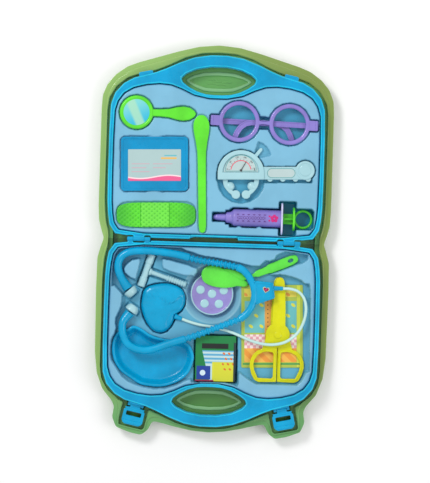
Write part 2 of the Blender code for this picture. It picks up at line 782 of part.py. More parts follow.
def axis(name, at, parent=None):
    """An empty on a joint's axis."""
    made = bpy.data.objects.new(name, None)
    made.empty_display_size = KNUCKLE_RADIUS
    PARTS.objects.link(made)
    made["at"] = tuple(at)
    made.location = Vector(at)
    if parent:
        made.parent = parent
        made.location = Vector(at) - Vector(parent["at"])
    return made


def finish(piece, name, parent, look, smooth_degrees=35):
    """Names a piece, hangs it on its axis and gives it its material."""
    piece.name = name
    piece.data.name = name
    piece.data.materials.clear()
    piece.data.materials.append(look)
    piece.data.transform(Matrix.Translation(-Vector(parent["at"])))
    piece.parent = parent
    piece.data.shade_smooth()
    piece.data.set_sharp_from_angle(angle=math.radians(smooth_degrees))
    return piece


def along_x(at):
    """Turns a profile's top towards +X."""
    return Matrix.Translation(at) @ Matrix.Rotation(math.radians(90), 4, "Y")


def upright(at):
    return Matrix.Translation(at)


def at_level(point, level):
    return Vector((point[0], point[1], level))


def half_case(shares, side):
    return both_sides([Vector((point.x, point.y * side)) for point in places(shares)])


# Joint axes: the display tray carries the case, the case carries the lid, latches and instruments.
root = axis("tray_base", (0.0, 0.0, 0.0))
case_axis = axis("case_axis", (0.0, 0.0, CASE_BOTTOM), root)
lid_axis = axis("lid_axis", (0.0, 0.0, HINGE_LEVEL), case_axis)


def latch_frame(side):
    """The frame of a latch: X along its pivot, Y outwards from the hinge."""
    at = place((LATCH_PLACE_SHARES[0] * side, -LATCH_PLACE_SHARES[1]))
    turn = Matrix.Rotation(math.radians(180 + LATCH_TILT_DEGREES * side), 4, "Z")
    return Matrix.Translation(at_level(at, 0.0)) @ turn


def lug_frame(side):
    at = place((LATCH_PLACE_SHARES[0] * side, LATCH_PLACE_SHARES[1]))
    turn = Matrix.Rotation(math.radians(-LATCH_TILT_DEGREES * side), 4, "Z")
    return Matrix.Translation(at_level(at, 0.0)) @ turn


PIVOT_STANDOFF = LATCH_PIVOT_RADIUS + FIT_GAP * 2
LATCH_EYE = PIVOT_STANDOFF + LATCH_PIVOT_RADIUS


def lobed_outline():
    """The case's outline with the open latches' places, from the lid's end round to the base's end."""
    lid = [point for point in places(RIM_SHARES) if point.y > KNUCKLE_RADIUS * 2]
    frame = latch_frame(1)
    reach = LATCH_LENGTH + PIVOT_STANDOFF
    lobe = []
    for x, y in ((1, 0), (1, 1), (-1, 1), (-1, 0)):
        corner = frame @ Vector((-x * LATCH_WIDTH / 2, y * reach, 0.0))
        lobe.append(corner.xy)
    base = [Vector((point.x, -point.y)) for point in reversed(lid)]
    before = [point for point in base if point.x > lobe[0].x]
    after = [point for point in base if point.x < lobe[3].x]
    return both_sides(lid + before + lobe + after)


def make_tray():
    half = [
        Vector((x * TRAY_HALF_WIDTH / TRAY_WIDTH_PARTS, y * TRAY_REACH / TRAY_REACH_PARTS))
        for x, y in TRAY_LID_SHARES + TRAY_BASE_SHARES[1:]
    ]
    outline = both_sides(half)
    well = grown(lobed_outline(), TRAY_CLEARANCE)
    wall = grown(lobed_outline(), TRAY_CLEARANCE + TRAY_SKIN)
    low = TRAY_DEPTH - TRAY_STEP
    tray = slab("tray", [wall], 0.0, low + TRAY_STEP / 2)
    flange = slab("flange", [outline], low - TRAY_SKIN, low)
    step = slab("step", [grown(outline, -TRAY_STEP_WIDTH)], low - TRAY_SKIN / 2, TRAY_DEPTH)
    join(tray, flange, step)
    islands = [grown(half_case(HOLE_SHARES, side), -ISLAND_CLEARANCE) for side in (1, -1)]
    cut(tray, slab("well", [well] + [island[::-1] for island in islands], TRAY_SKIN, TRAY_DEPTH + OVERRUN))
    for island in islands:
        above = grown(island, ISLAND_CLEARANCE / 2)
        cut(tray, slab("above", [above], ISLAND_HEIGHT, TRAY_DEPTH + OVERRUN * 2))
        centre = sum(island, Vector((0.0, 0.0))) / len(island)
        hollow = [centre.lerp(point, ISLAND_HOLLOW_SHARE) for point in island]
        cut(tray, slab("hollow", [hollow], -OVERRUN, ISLAND_HEIGHT - TRAY_SKIN))
    return finish(tray, "display_tray", root, TRAY_GREEN)


def make_shell(side, name, parent):
    rim = softened(half_case(RIM_SHARES, side), SHELL_DEPTH)
    pan = softened(half_case(PAN_SHARES, side), SHELL_DEPTH)
    hole = softened(half_case(HOLE_SHARES, side), SHELL_DEPTH)
    handle = half_case(HANDLE_SHARES, side)
    shell = slab("pan", [pan], CASE_BOTTOM, RIM_TOP - RIM_HEIGHT / 2, SHELL_EDGE)
    join(
        shell,
        slab("rim", [rim], RIM_TOP - RIM_HEIGHT, RIM_TOP),
        slab("grip", [softened(handle, SHELL_DEPTH)], RIM_TOP - HANDLE_HEIGHT, RIM_TOP - RIM_HEIGHT / 2, HANDLE_EDGE),
    )
    cut(
        shell,
        slab("cavity", [grown(pan, -SHELL_WALL)], SHELL_INSIDE, RIM_TOP + OVERRUN),
        slab("hole", [hole], RIM_TOP - HANDLE_HEIGHT - OVERRUN, RIM_TOP + OVERRUN),
    )
    spine = place(PAN_SHARES[-1])[1] * side
    for end in (-1, 1):
        middle = place((HINGE_PLACE_SHARES[0] * end, 0))[0]
        reach = HINGE_LENGTH / 2
        room = KNUCKLE_RADIUS + FIT_GAP
        y_low, y_high = sorted((-room * side, spine))
        cut(shell, block(
            "room", (middle - reach - FIT_GAP * 2, y_low, RIM_TOP - RIM_HEIGHT - OVERRUN),
            (middle + reach + FIT_GAP * 2, y_high, RIM_TOP + OVERRUN),
        ))
        if side < 0:
            spans = [(-reach, -reach + OUTER_KNUCKLE), (reach - OUTER_KNUCKLE, reach)]
        else:
            spans = [(-reach + OUTER_KNUCKLE + FIT_GAP, reach - OUTER_KNUCKLE - FIT_GAP)]
        for low, high in spans:
            y_low, y_high = sorted((KNUCKLE_RADIUS / 2 * side, spine + SHELL_WALL / 2 * side))
            bracket = block(
                "bracket", (middle + low, y_low, RIM_TOP - FIT_GAP - BRACKET_HEIGHT),
                (middle + high, y_high, RIM_TOP - FIT_GAP),
            )
            barrel = turned(
                "barrel", [(0.0, high), (KNUCKLE_RADIUS, high), (KNUCKLE_RADIUS, low), (0.0, low)],
                along_x((middle, 0.0, HINGE_LEVEL)), SMALL_STEPS,
            )
            join(shell, bracket, barrel)
        bore = PIN_RADIUS + FIT_GAP
        cut(shell, turned(
            "bore", [(0.0, reach + OVERRUN), (bore, reach + OVERRUN), (bore, -reach - OVERRUN),
                     (0.0, -reach - OVERRUN)],
            along_x((middle, 0.0, HINGE_LEVEL)), SMALL_STEPS,
        ))
    for end in (-1, 1):
        if side > 0:
            lug = block(
                "lug", (-LUG_WIDTH / 2, -OVERRUN, RIM_TOP - LUG_RISE - LUG_HEIGHT / 2),
                (LUG_WIDTH / 2, LUG_REACH, RIM_TOP - LUG_RISE + LUG_HEIGHT / 2),
            )
            join(shell, moved(lug, lug_frame(end)))
        else:
            for flank in (-1, 1):
                inner = LATCH_WIDTH / 4
                x_low, x_high = sorted((flank * inner, flank * (inner + OUTER_KNUCKLE / 2)))
                ear = block(
                    "ear", (x_low, -OVERRUN, LATCH_LEVEL - LATCH_PIVOT_RADIUS),
                    (x_high, LATCH_EYE, LATCH_LEVEL + LATCH_PIVOT_RADIUS),
                )
                join(shell, moved(ear, latch_frame(end)))
            rod_end = LATCH_WIDTH / 4 + OUTER_KNUCKLE / 2
            rod = turned(
                "rod", [(0.0, rod_end), (PIN_RADIUS, rod_end), (PIN_RADIUS, -rod_end), (0.0, -rod_end)],
                along_x((0.0, PIVOT_STANDOFF, LATCH_LEVEL)), SMALL_STEPS,
            )
            join(shell, moved(rod, latch_frame(end)))
    return finish(shell, name, parent, CASE_BLUE)


def make_hinge_pin(end, name):
    reach = HINGE_LENGTH / 2
    middle = place((HINGE_PLACE_SHARES[0] * end, 0))[0]
    pin = turned(
        "pin", [(0.0, reach), (PIN_RADIUS, reach), (PIN_RADIUS, -reach), (0.0, -reach)],
        along_x((middle, 0.0, HINGE_LEVEL)), SMALL_STEPS,
    )
    return finish(pin, name, case_axis, CASE_BLUE)


def make_latch(end, name):
    frame = latch_frame(end)
    pivot = frame @ Vector((0.0, PIVOT_STANDOFF, LATCH_LEVEL))
    parent = axis(name + "_axis", pivot, case_axis)
    half = LATCH_THICKNESS / 2
    start = PIVOT_STANDOFF + LATCH_PIVOT_RADIUS * 1.5 + FIT_GAP
    plate = rectangle(
        LATCH_WIDTH, LATCH_LENGTH - start + PIVOT_STANDOFF,
        (0.0, (start + LATCH_LENGTH + PIVOT_STANDOFF) / 2), LATCH_CORNER,
    )
    lug_middle = PIVOT_STANDOFF + (2 * LUG_RISE + LATCH_PIVOT_DROP + FIT_GAP) - LUG_RISE
    slot = rectangle(LATCH_SLOT_WIDTH, LATCH_SLOT_LENGTH, (0.0, lug_middle), LATCH_CORNER / 8)
    latch = slab("plate", [plate, slot], LATCH_LEVEL - half, LATCH_LEVEL + half, LATCH_THICKNESS / 6)
    inner = LATCH_WIDTH / 4 - FIT_GAP
    tongue = block(
        "tongue", (-inner, PIVOT_STANDOFF, LATCH_LEVEL - half), (inner, start + half, LATCH_LEVEL + half),
    )
    barrel = turned(
        "barrel", [(0.0, inner), (LATCH_PIVOT_RADIUS, inner), (LATCH_PIVOT_RADIUS, -inner), (0.0, -inner)],
        along_x((0.0, PIVOT_STANDOFF, LATCH_LEVEL)), SMALL_STEPS,
    )
    grip = block(
        "grip", (-inner, LATCH_LENGTH + PIVOT_STANDOFF - LATCH_CORNER, LATCH_LEVEL),
        (inner, LATCH_LENGTH + PIVOT_STANDOFF - LATCH_CORNER / 2, LATCH_LEVEL + half + LATCH_GRIP),
    )
    join(latch, tongue, barrel, grip)
    bore = PIN_RADIUS + FIT_GAP
    cut(latch, turned(
        "bore", [(0.0, inner + OVERRUN), (bore, inner + OVERRUN), (bore, -inner - OVERRUN),
                 (0.0, -inner - OVERRUN)],
        along_x((0.0, PIVOT_STANDOFF, LATCH_LEVEL)), SMALL_STEPS,
    ))
    moved(latch, frame)
    return finish(latch, name, parent, CASE_BLUE)


# Pockets: each is a list of outlines and the level of its floor.
LID_POCKETS = []
BASE_POCKETS = []


def make_insert(side, name, parent, pockets, surface):
    pan = softened(half_case(PAN_SHARES, side), SHELL_DEPTH)
    outline = grown(pan, -SHELL_WALL - INSERT_CLEARANCE)
    far = grown(pan, SHELL_DEPTH)
    voids = []
    if side > 0:
        insert = slab("skin", [outline], surface - INSERT_SKIN, surface)
    else:
        insert = slab("skin", [outline], surface - INSERT_SKIN, PLATEAU)
        inside = grown(outline, -INSERT_SKIN)
        cut(insert, slab("basin", [inside], surface, PLATEAU + OVERRUN))
        inside = grown(inside, -INSERT_SKIN / 2)
        for shares in PLATEAU_SHARES:
            field = places(shares)
            join(insert, slab("plateau", [field], surface - INSERT_SKIN / 2, PLATEAU))
            void = slab("void", [grown(field, -INSERT_SKIN)], surface - INSERT_SKIN - OVERRUN, PLATEAU - INSERT_SKIN)
            cut(void, slab("beyond", [far, inside[::-1]], SHELL_INSIDE, PLATEAU))
            voids.append(void)
    cups = []
    for outline, floor in pockets:
        cups.append(slab("cup", [grown(outline, INSERT_SKIN)], floor - INSERT_SKIN, surface - INSERT_SKIN / 2))
    join(insert, *cups)
    limit = grown(pan, -SHELL_WALL - INSERT_CLEARANCE / 2)
    cut(insert, slab("beyond", [far, limit[::-1]], SHELL_INSIDE - SHELL_FLOOR, LID_SURFACE + OVERRUN))
    hollows = []
    for outline, floor in pockets:
        hollows.append(slab("hollow", [outline], floor, surface + OVERRUN))
    cut(insert, *hollows, *voids)
    return finish(insert, name, parent, INSERT_BLUE)


def make_mirror():
    centre = place(MIRROR_PLACE_SHARES)
    low = LID_TOP - MIRROR_THICKNESS
    parent = axis("mirror_axis", at_level(centre, low), lid_axis)
    seat = LID_TOP - MIRROR_EDGE - MIRROR_GLASS
    bore = MIRROR_GLASS_RADIUS + FIT_GAP
    frame = turned("frame", [
        (0.0, seat - FIT_GAP), (bore, seat - FIT_GAP), (bore, LID_TOP - MIRROR_EDGE),
        (bore + MIRROR_EDGE, LID_TOP), (MIRROR_RADIUS - MIRROR_EDGE, LID_TOP),
        (MIRROR_RADIUS, LID_TOP - MIRROR_EDGE), (MIRROR_RADIUS, low + MIRROR_EDGE),
        (MIRROR_RADIUS - MIRROR_EDGE, low), (0.0, low),
    ], upright(at_level(centre, 0.0)))
    half = sized(MIRROR_HANDLE_SHARES, (MIRROR_HANDLE, MIRROR_HANDLE_WIDTH), MIRROR_HANDLE_PARTS)
    handle = turned_about(both_edges(half), 0, centre)
    outline = grown(handle, POCKET_CLEARANCE)
    join(frame, slab("handle", [handle], low + MIRROR_EDGE, LID_TOP - MIRROR_EDGE / 2, MIRROR_EDGE))
    finish(frame, "mirror_frame", parent, LIME)
    glass = turned("glass", [
        (0.0, seat + MIRROR_GLASS), (MIRROR_GLASS_RADIUS, seat + MIRROR_GLASS), (MIRROR_GLASS_RADIUS, seat),
        (0.0, seat),
    ], upright(at_level(centre, 0.0)))
    finish(glass, "mirror_glass", parent, GLASS)
    floor = low - FIT_GAP
    LID_POCKETS.append((circle(MIRROR_RADIUS + POCKET_CLEARANCE, centre, POCKET_STEPS), floor))
    LID_POCKETS.append((outline, floor))


def make_name_card():
    centre = place(PLATE_PLACE_SHARES)
    low = LID_TOP - PLATE_THICKNESS
    parent = axis("name_card_axis", at_level(centre, low), lid_axis)
    plate = turned_about(rectangle(PLATE_WIDTH, PLATE_LENGTH, corner=PLATE_CORNER), SET_TILT_DEGREES, centre)
    label = rectangle(LABEL_WIDTH, LABEL_LENGTH, (0.0, LABEL_OFFSET))
    label = turned_about(label, SET_TILT_DEGREES, centre)
    body = slab("plate", [plate], low, LID_TOP, PLATE_EDGE)
    floor = LID_TOP - LABEL_THICKNESS - FIT_GAP
    cut(body, slab("recess", [grown(label, FIT_GAP)], floor, LID_TOP + OVERRUN))
    finish(body, "name_card_plate", parent, TOY_BLUE)
    finish(slab("label", [label], floor + FIT_GAP, LID_TOP), "name_card_label", parent, PAPER)
    LID_POCKETS.append((grown(plate, POCKET_CLEARANCE), low - FIT_GAP))


def make_bandage():
    centre = place(BANDAGE_PLACE_SHARES)
    top = LID_TOP - BANDAGE_PAD_RISE
    low = top - BANDAGE_THICKNESS
    parent = axis("bandage_axis", at_level(centre, low), lid_axis)
    band = rectangle(BANDAGE_LENGTH, BANDAGE_WIDTH, corner=BANDAGE_WIDTH / 2, steps=5)
    band = turned_about(band, SET_TILT_DEGREES, centre)
    pad = rectangle(BANDAGE_PAD_LENGTH, BANDAGE_PAD_WIDTH, corner=BANDAGE_EDGE * 2)
    pad = turned_about(pad, SET_TILT_DEGREES, centre)
    body = slab("band", [band], low, top, BANDAGE_EDGE)
    join(body, slab("pad", [pad], top - BANDAGE_EDGE, LID_TOP, BANDAGE_EDGE))
    finish(body, "bandage_strip", parent, LIME)
    LID_POCKETS.append((grown(band, POCKET_CLEARANCE), low - FIT_GAP))


def make_depressor():
    end = place(DEPRESSOR_PLACE_SHARES)
    low = LID_TOP - DEPRESSOR_THICKNESS
    parent = axis("depressor_axis", at_level(end, low), lid_axis)
    length = place(DEPRESSOR_REACH_SHARES).y
    half = sized(DEPRESSOR_SHARES, (length, DEPRESSOR_WIDTH), DEPRESSOR_PARTS)
    outline = turned_about(both_edges(half), -90 + DEPRESSOR_TILT_DEGREES, end)
    body = slab("depressor", [outline], low, LID_TOP, DEPRESSOR_EDGE)
    finish(body, "tongue_depressor", parent, LIME)
    LID_POCKETS.append((grown(outline, POCKET_CLEARANCE), low - FIT_GAP))


def make_glasses():
    centre = place(GLASSES_PLACE_SHARES)
    low = LID_TOP - FRONT_THICKNESS
    parent = axis("glasses_axis", at_level(centre, low), lid_axis)
    frame = Matrix.Translation(at_level(centre, 0.0))
    frame = frame @ Matrix.Rotation(math.radians(GLASSES_TILT_DEGREES), 4, "Z")
    parts = []
    for side in (-1, 1):
        lens = (side * LENS_SPACING / 2, 0.0)
        ring = [circle(LENS_OUTER, lens), circle(LENS_INNER, lens)[::-1]]
        parts.append(slab("ring", ring, low, LID_TOP, FRONT_EDGE))
    gap = LENS_SPACING - 2 * LENS_OUTER + FRONT_THICKNESS
    bridge = rectangle(gap, BRIDGE_WIDTH)
    parts.append(slab("bridge", [bridge], low + FRONT_EDGE / 2, LID_TOP - FRONT_EDGE / 2))
    levels = {}
    top = low - FIT_GAP
    for side in (1, -1):
        middle = side * (GLASSES_HALF_WIDTH - END_LENGTH / 2)
        end = rectangle(END_LENGTH, END_WIDTH, (middle, 0.0), FRONT_EDGE * 2)
        parts.append(slab("end", [end], low + FRONT_EDGE / 2, LID_TOP - FRONT_EDGE / 2))
        levels[side] = top - TEMPLE_THICKNESS / 2
        bottom = levels[side] - TEMPLE_KNUCKLE_RADIUS
        pivot_x = side * (GLASSES_HALF_WIDTH - TEMPLE_INSET)
        for flank in (-1, 1):
            y_low = TEMPLE_ROOT_WIDTH / 2 + FIT_GAP
            low_y, high_y = sorted((flank * y_low, flank * (y_low + EAR_THICKNESS)))
            low_x, high_x = sorted((pivot_x - EAR_LENGTH / 2, pivot_x + EAR_LENGTH / 2))
            parts.append(block("ear", (low_x, low_y, bottom), (high_x, high_y, low + FRONT_THICKNESS / 2)))
        top -= TEMPLE_THICKNESS + FIT_GAP * 2
    front = parts[0]
    join(front, *parts[1:])
    moved(front, frame)
    finish(front, "glasses_front", parent, PURPLE)
    for side, name in ((-1, "glasses_temple_left"), (1, "glasses_temple_right")):
        pivot = Vector((side * (GLASSES_HALF_WIDTH - TEMPLE_INSET), 0.0, levels[side]))
        start = pivot.x - side * EAR_LENGTH / 2
        path = [
            (pivot.x, 0.0), (start, 0.0), (start - side * EAR_LENGTH, 0.0),
            (pivot.x - side * TEMPLE_LENGTH * 0.6, 0.0), (pivot.x - side * TEMPLE_LENGTH, 0.0),
            (pivot.x - side * (TEMPLE_LENGTH + TEMPLE_HOOK * 0.35), -TEMPLE_HOOK * 0.17),
            (pivot.x - side * (TEMPLE_LENGTH + TEMPLE_HOOK * 0.58), -TEMPLE_HOOK * 0.44),
            (pivot.x - side * (TEMPLE_LENGTH + TEMPLE_HOOK * 0.8), -TEMPLE_HOOK),
        ]
        widths = [
            TEMPLE_ROOT_WIDTH, TEMPLE_ROOT_WIDTH, TEMPLE_WIDTH, TEMPLE_WIDTH, TEMPLE_WIDTH, TEMPLE_WIDTH,
            TEMPLE_WIDTH, TEMPLE_WIDTH,
        ]
        half = TEMPLE_THICKNESS / 2
        outline = softened(strip(path, widths), TEMPLE_WIDTH / 2)
        arm = slab("arm", [outline], pivot.z - half, pivot.z + half, FRONT_EDGE / 2)
        reach = TEMPLE_ROOT_WIDTH / 2
        turn = Matrix.Translation(pivot) @ Matrix.Rotation(math.radians(-90), 4, "X")
        radius = TEMPLE_THICKNESS / 2
        join(arm, turned(
            "knuckle", [(0.0, reach), (radius, reach), (radius, -reach), (0.0, -reach)], turn, SMALL_STEPS,
        ))
        moved(arm, frame)
        arm_axis = axis(name + "_axis", frame @ pivot, parent)
        finish(arm, name, arm_axis, PURPLE)
    floor = min(levels.values()) - TEMPLE_KNUCKLE_RADIUS - FIT_GAP
    outlines = []
    for side in (-1, 1):
        outlines.append(circle(LENS_OUTER + POCKET_CLEARANCE, (side * LENS_SPACING / 2, 0.0), POCKET_STEPS))
    length = 2 * (GLASSES_HALF_WIDTH + POCKET_CLEARANCE)
    outlines.append(rectangle(length, END_WIDTH + 2 * POCKET_CLEARANCE, corner=FRONT_EDGE * 2))
    for outline in outlines:
        LID_POCKETS.append((turned_about(outline, GLASSES_TILT_DEGREES, centre), floor))


def make_gauge():
    centre = place(GAUGE_PLACE_SHARES)
    low = LID_TOP - GAUGE_THICKNESS
    parent = axis("gauge_axis", at_level(centre, low), lid_axis)
    frame = Matrix.Translation(at_level(centre, 0.0)) @ Matrix.Rotation(math.radians(SET_TILT_DEGREES), 4, "Z")

    def half_disc(radius, skirt, steps=ROUND_STEPS):
        points = [Vector((-radius, -skirt)), Vector((radius, -skirt))]
        for step in range(steps // 2 + 1):
            angle = math.pi * step / (steps // 2)
            points.append(Vector((radius * math.cos(angle), radius * math.sin(angle))))
        return points

    outline = half_disc(GAUGE_RADIUS, GAUGE_SKIRT)
    body = slab("body", [outline], low, LID_TOP, GAUGE_EDGE)
    grip_top = LID_TOP - GAUGE_GRIP_DROP
    grip_low = grip_top - GAUGE_GRIP_THICKNESS
    start = GAUGE_RADIUS - GAUGE_EDGE * 3
    end = GAUGE_RADIUS + GAUGE_GRIP_LENGTH
    grip_middle = -GAUGE_SKIRT + GAUGE_GRIP_WIDTH / 2
    grip = rectangle(end - start, GAUGE_GRIP_WIDTH, ((start + end) / 2, grip_middle))
    pad = (end, grip_middle + GAUGE_PAD_RISE)
    tools = [
        slab("grip", [grip], grip_low, grip_top, GAUGE_EDGE / 2),
        slab("pad", [circle(GAUGE_PAD_RADIUS, pad)], grip_low, grip_top, GAUGE_EDGE),
    ]
    for index in range(GAUGE_BUMPS):
        x = end + GAUGE_BUMP_RADIUS - index * GAUGE_BUMP_PITCH
        bump = ellipse(GAUGE_BUMP_RADIUS, GAUGE_BUMP_RADIUS, (x, -GAUGE_SKIRT + GAUGE_EDGE), SMALL_STEPS)
        tools.append(slab("bump", [bump], grip_low + GAUGE_EDGE, grip_top - GAUGE_EDGE))
    join(body, *tools)
    dial = half_disc(DIAL_RADIUS, 0.0)
    dial = [point + Vector((0.0, DIAL_RISE)) for point in dial]
    dial_floor = LID_TOP - DIAL_DEPTH
    label_middle = (GAUGE_RADIUS + GRIP_LABEL_LENGTH / 2 + GAUGE_EDGE * 3, grip_middle)
    label = rectangle(GRIP_LABEL_LENGTH, GRIP_LABEL_WIDTH, label_middle, GRIP_LABEL_WIDTH / 2, 4)
    lever_low = LID_TOP - DIAL_DEPTH - FIT_GAP - GAUGE_EDGE - LEVER_THICKNESS
    spread = math.radians(LEVER_SWING_DEGREES)
    lever_turn = math.radians(LEVER_ANGLE_DEGREES)
    root_out = GAUGE_RADIUS - LEVER_ROOT_RADIUS - GAUGE_EDGE
    lever_root = Vector((math.cos(lever_turn), math.sin(lever_turn))) * root_out
    wedge = [lever_root - Vector((math.cos(lever_turn), math.sin(lever_turn))) * LEVER_ROOT_RADIUS]
    for turn in (-1.6, 1.6):
        heading = lever_turn + spread * turn
        side = Vector((-math.sin(heading), math.cos(heading))) * math.copysign(LEVER_WIDTH, turn)
        wedge.append(lever_root + side)
        wedge.append(lever_root + side + Vector((math.cos(heading), math.sin(heading))) * GAUGE_RADIUS)
    wedge = [wedge[0], wedge[1], wedge[2], wedge[4], wedge[3]]
    jaw_mid = low + GAUGE_EDGE + JAW_THICKNESS / 2
    jaw_low = jaw_mid - JAW_THICKNESS / 2
    slot_x = GAUGE_RADIUS - GAUGE_EDGE
    cut(
        body,
        slab("dial_recess", [grown(dial, FIT_GAP)], dial_floor, LID_TOP + OVERRUN),
        slab("label_recess", [grown(label, FIT_GAP)], grip_top - GRIP_LABEL_THICKNESS - FIT_GAP,
             LID_TOP + OVERRUN),
        slab("lever_slot", [wedge], lever_low - FIT_GAP, lever_low + LEVER_THICKNESS + FIT_GAP),
        block("jaw_slot", (-slot_x, -GAUGE_SKIRT - OVERRUN, jaw_low - FIT_GAP),
              (slot_x, -GAUGE_SKIRT + JAW_SLOT_DEPTH, jaw_low + JAW_THICKNESS + FIT_GAP)),
    )
    finish(moved(body, frame), "gauge_body", parent, SOFT_WHITE)
    plate = slab("dial", [dial], dial_floor + FIT_GAP, dial_floor + FIT_GAP + DIAL_THICKNESS)
    finish(moved(plate, frame), "gauge_dial", parent, PAPER)
    badge = slab("label", [label], grip_top - GRIP_LABEL_THICKNESS, grip_top)
    finish(moved(badge, frame), "gauge_handle_label", parent, PAPER)

    needle_low = dial_floor + FIT_GAP * 2 + DIAL_THICKNESS
    hub = Vector((0.0, DIAL_RISE + NEEDLE_HUB + FIT_GAP, needle_low))
    heading = math.radians(NEEDLE_ANGLE_DEGREES)
    along = Vector((math.cos(heading), math.sin(heading)))
    line = [hub.xy - along * NEEDLE_TAIL / 2, hub.xy, hub.xy + along * NEEDLE_LENGTH]
    needle = slab(
        "needle", [strip(line, [NEEDLE_WIDTH, NEEDLE_WIDTH, NEEDLE_WIDTH / 2])],
        needle_low, needle_low + NEEDLE_THICKNESS,
    )
    join(needle, slab("hub", [circle(NEEDLE_HUB, hub.xy, SMALL_STEPS)], needle_low,
                      needle_low + NEEDLE_THICKNESS + FIT_GAP))
    finish(moved(needle, frame), "gauge_needle", axis("gauge_needle_axis", frame @ hub, parent), INK)

    lever_at = Vector((lever_root.x, lever_root.y, lever_low))
    out = Vector((math.cos(lever_turn), math.sin(lever_turn)))
    bar = strip([lever_root, lever_root + out * LEVER_LENGTH], [LEVER_WIDTH, LEVER_WIDTH * 0.85])
    lever = slab("lever", [softened(bar, LEVER_WIDTH * 0.4)], lever_low, lever_low + LEVER_THICKNESS)
    finish(moved(lever, frame), "gauge_lever", axis("gauge_lever_axis", frame @ lever_at, parent), SOFT_WHITE)

    middle_y = -GAUGE_SKIRT
    for side, name in ((-1, "gauge_jaw_left"), (1, "gauge_jaw_right")):
        pivot = Vector((side * JAW_RADIUS, middle_y + JAW_SLOT_DEPTH / 2, jaw_mid))
        ball_x = side * (JAW_BALL_RADIUS + JAW_END_GAP / 2)
        reach = math.asin(ball_x / JAW_RADIUS)
        path = [pivot.xy]
        for step in range(7):
            angle = math.radians(side * 90) + (reach - math.radians(side * 90)) * step / 6
            path.append(Vector((math.sin(angle) * JAW_RADIUS, middle_y - math.cos(angle) * JAW_RADIUS)))
        widths = [JAW_WIDTH] * 4 + [JAW_WIDTH * 0.85] * 4
        jaw = slab("jaw", [strip(path, widths)], jaw_low, jaw_low + JAW_THICKNESS, GAUGE_EDGE / 2)
        ball_at = Vector((ball_x, middle_y - math.cos(reach) * JAW_RADIUS, jaw_mid))
        ball_profile = []
        for step in range(7):
            angle = math.pi * step / 6
            height = math.cos(angle) * (JAW_THICKNESS / 2 + GAUGE_EDGE)
            ball_profile.append((math.sin(angle) * JAW_BALL_RADIUS, height))
        ball_profile[0] = (0.0, ball_profile[0][1])
        ball_profile[-1] = (0.0, ball_profile[-1][1])
        join(
            jaw,
            slab("root", [circle(JAW_WIDTH / 2, pivot.xy, SMALL_STEPS)], jaw_low, jaw_low + JAW_THICKNESS),
            turned("ball", ball_profile, upright(ball_at), SMALL_STEPS),
        )
        finish(moved(jaw, frame), name, axis(name + "_axis", frame @ pivot, parent), SOFT_WHITE)

    room = JAW_RADIUS + JAW_WIDTH + POCKET_CLEARANCE * 3
    floor = low - FIT_GAP
    shapes = [
        half_disc(GAUGE_RADIUS + POCKET_CLEARANCE, GAUGE_SKIRT + POCKET_CLEARANCE, POCKET_STEPS),
        circle(room, (0.0, middle_y), POCKET_STEPS),
        grown(rectangle(end - start + GAUGE_BUMP_RADIUS * 2, GAUGE_GRIP_WIDTH + GAUGE_BUMP_RADIUS / 2,
                        ((start + end) / 2 + GAUGE_BUMP_RADIUS, grip_middle - GAUGE_BUMP_RADIUS / 2)),
              POCKET_CLEARANCE),
        circle(GAUGE_PAD_RADIUS + POCKET_CLEARANCE, pad, POCKET_STEPS),
    ]
    floors = [floor, floor, grip_low - FIT_GAP, grip_low - FIT_GAP]
    for shape, level in zip(shapes, floors):
        LID_POCKETS.append((turned_about(shape, SET_TILT_DEGREES, centre), level))
    reach = LEVER_LENGTH + POCKET_CLEARANCE
    sweep = [lever_root]
    for turn in (-2.6, -1.6, -0.6, 0.5, 1.5):
        heading = lever_turn + spread * turn
        sweep.append(lever_root + Vector((math.cos(heading), math.sin(heading))) * (reach + LEVER_WIDTH / 2))
    LID_POCKETS.append((turned_about(grown(sweep, POCKET_CLEARANCE), SET_TILT_DEGREES, centre),
                        lever_low - FIT_GAP))


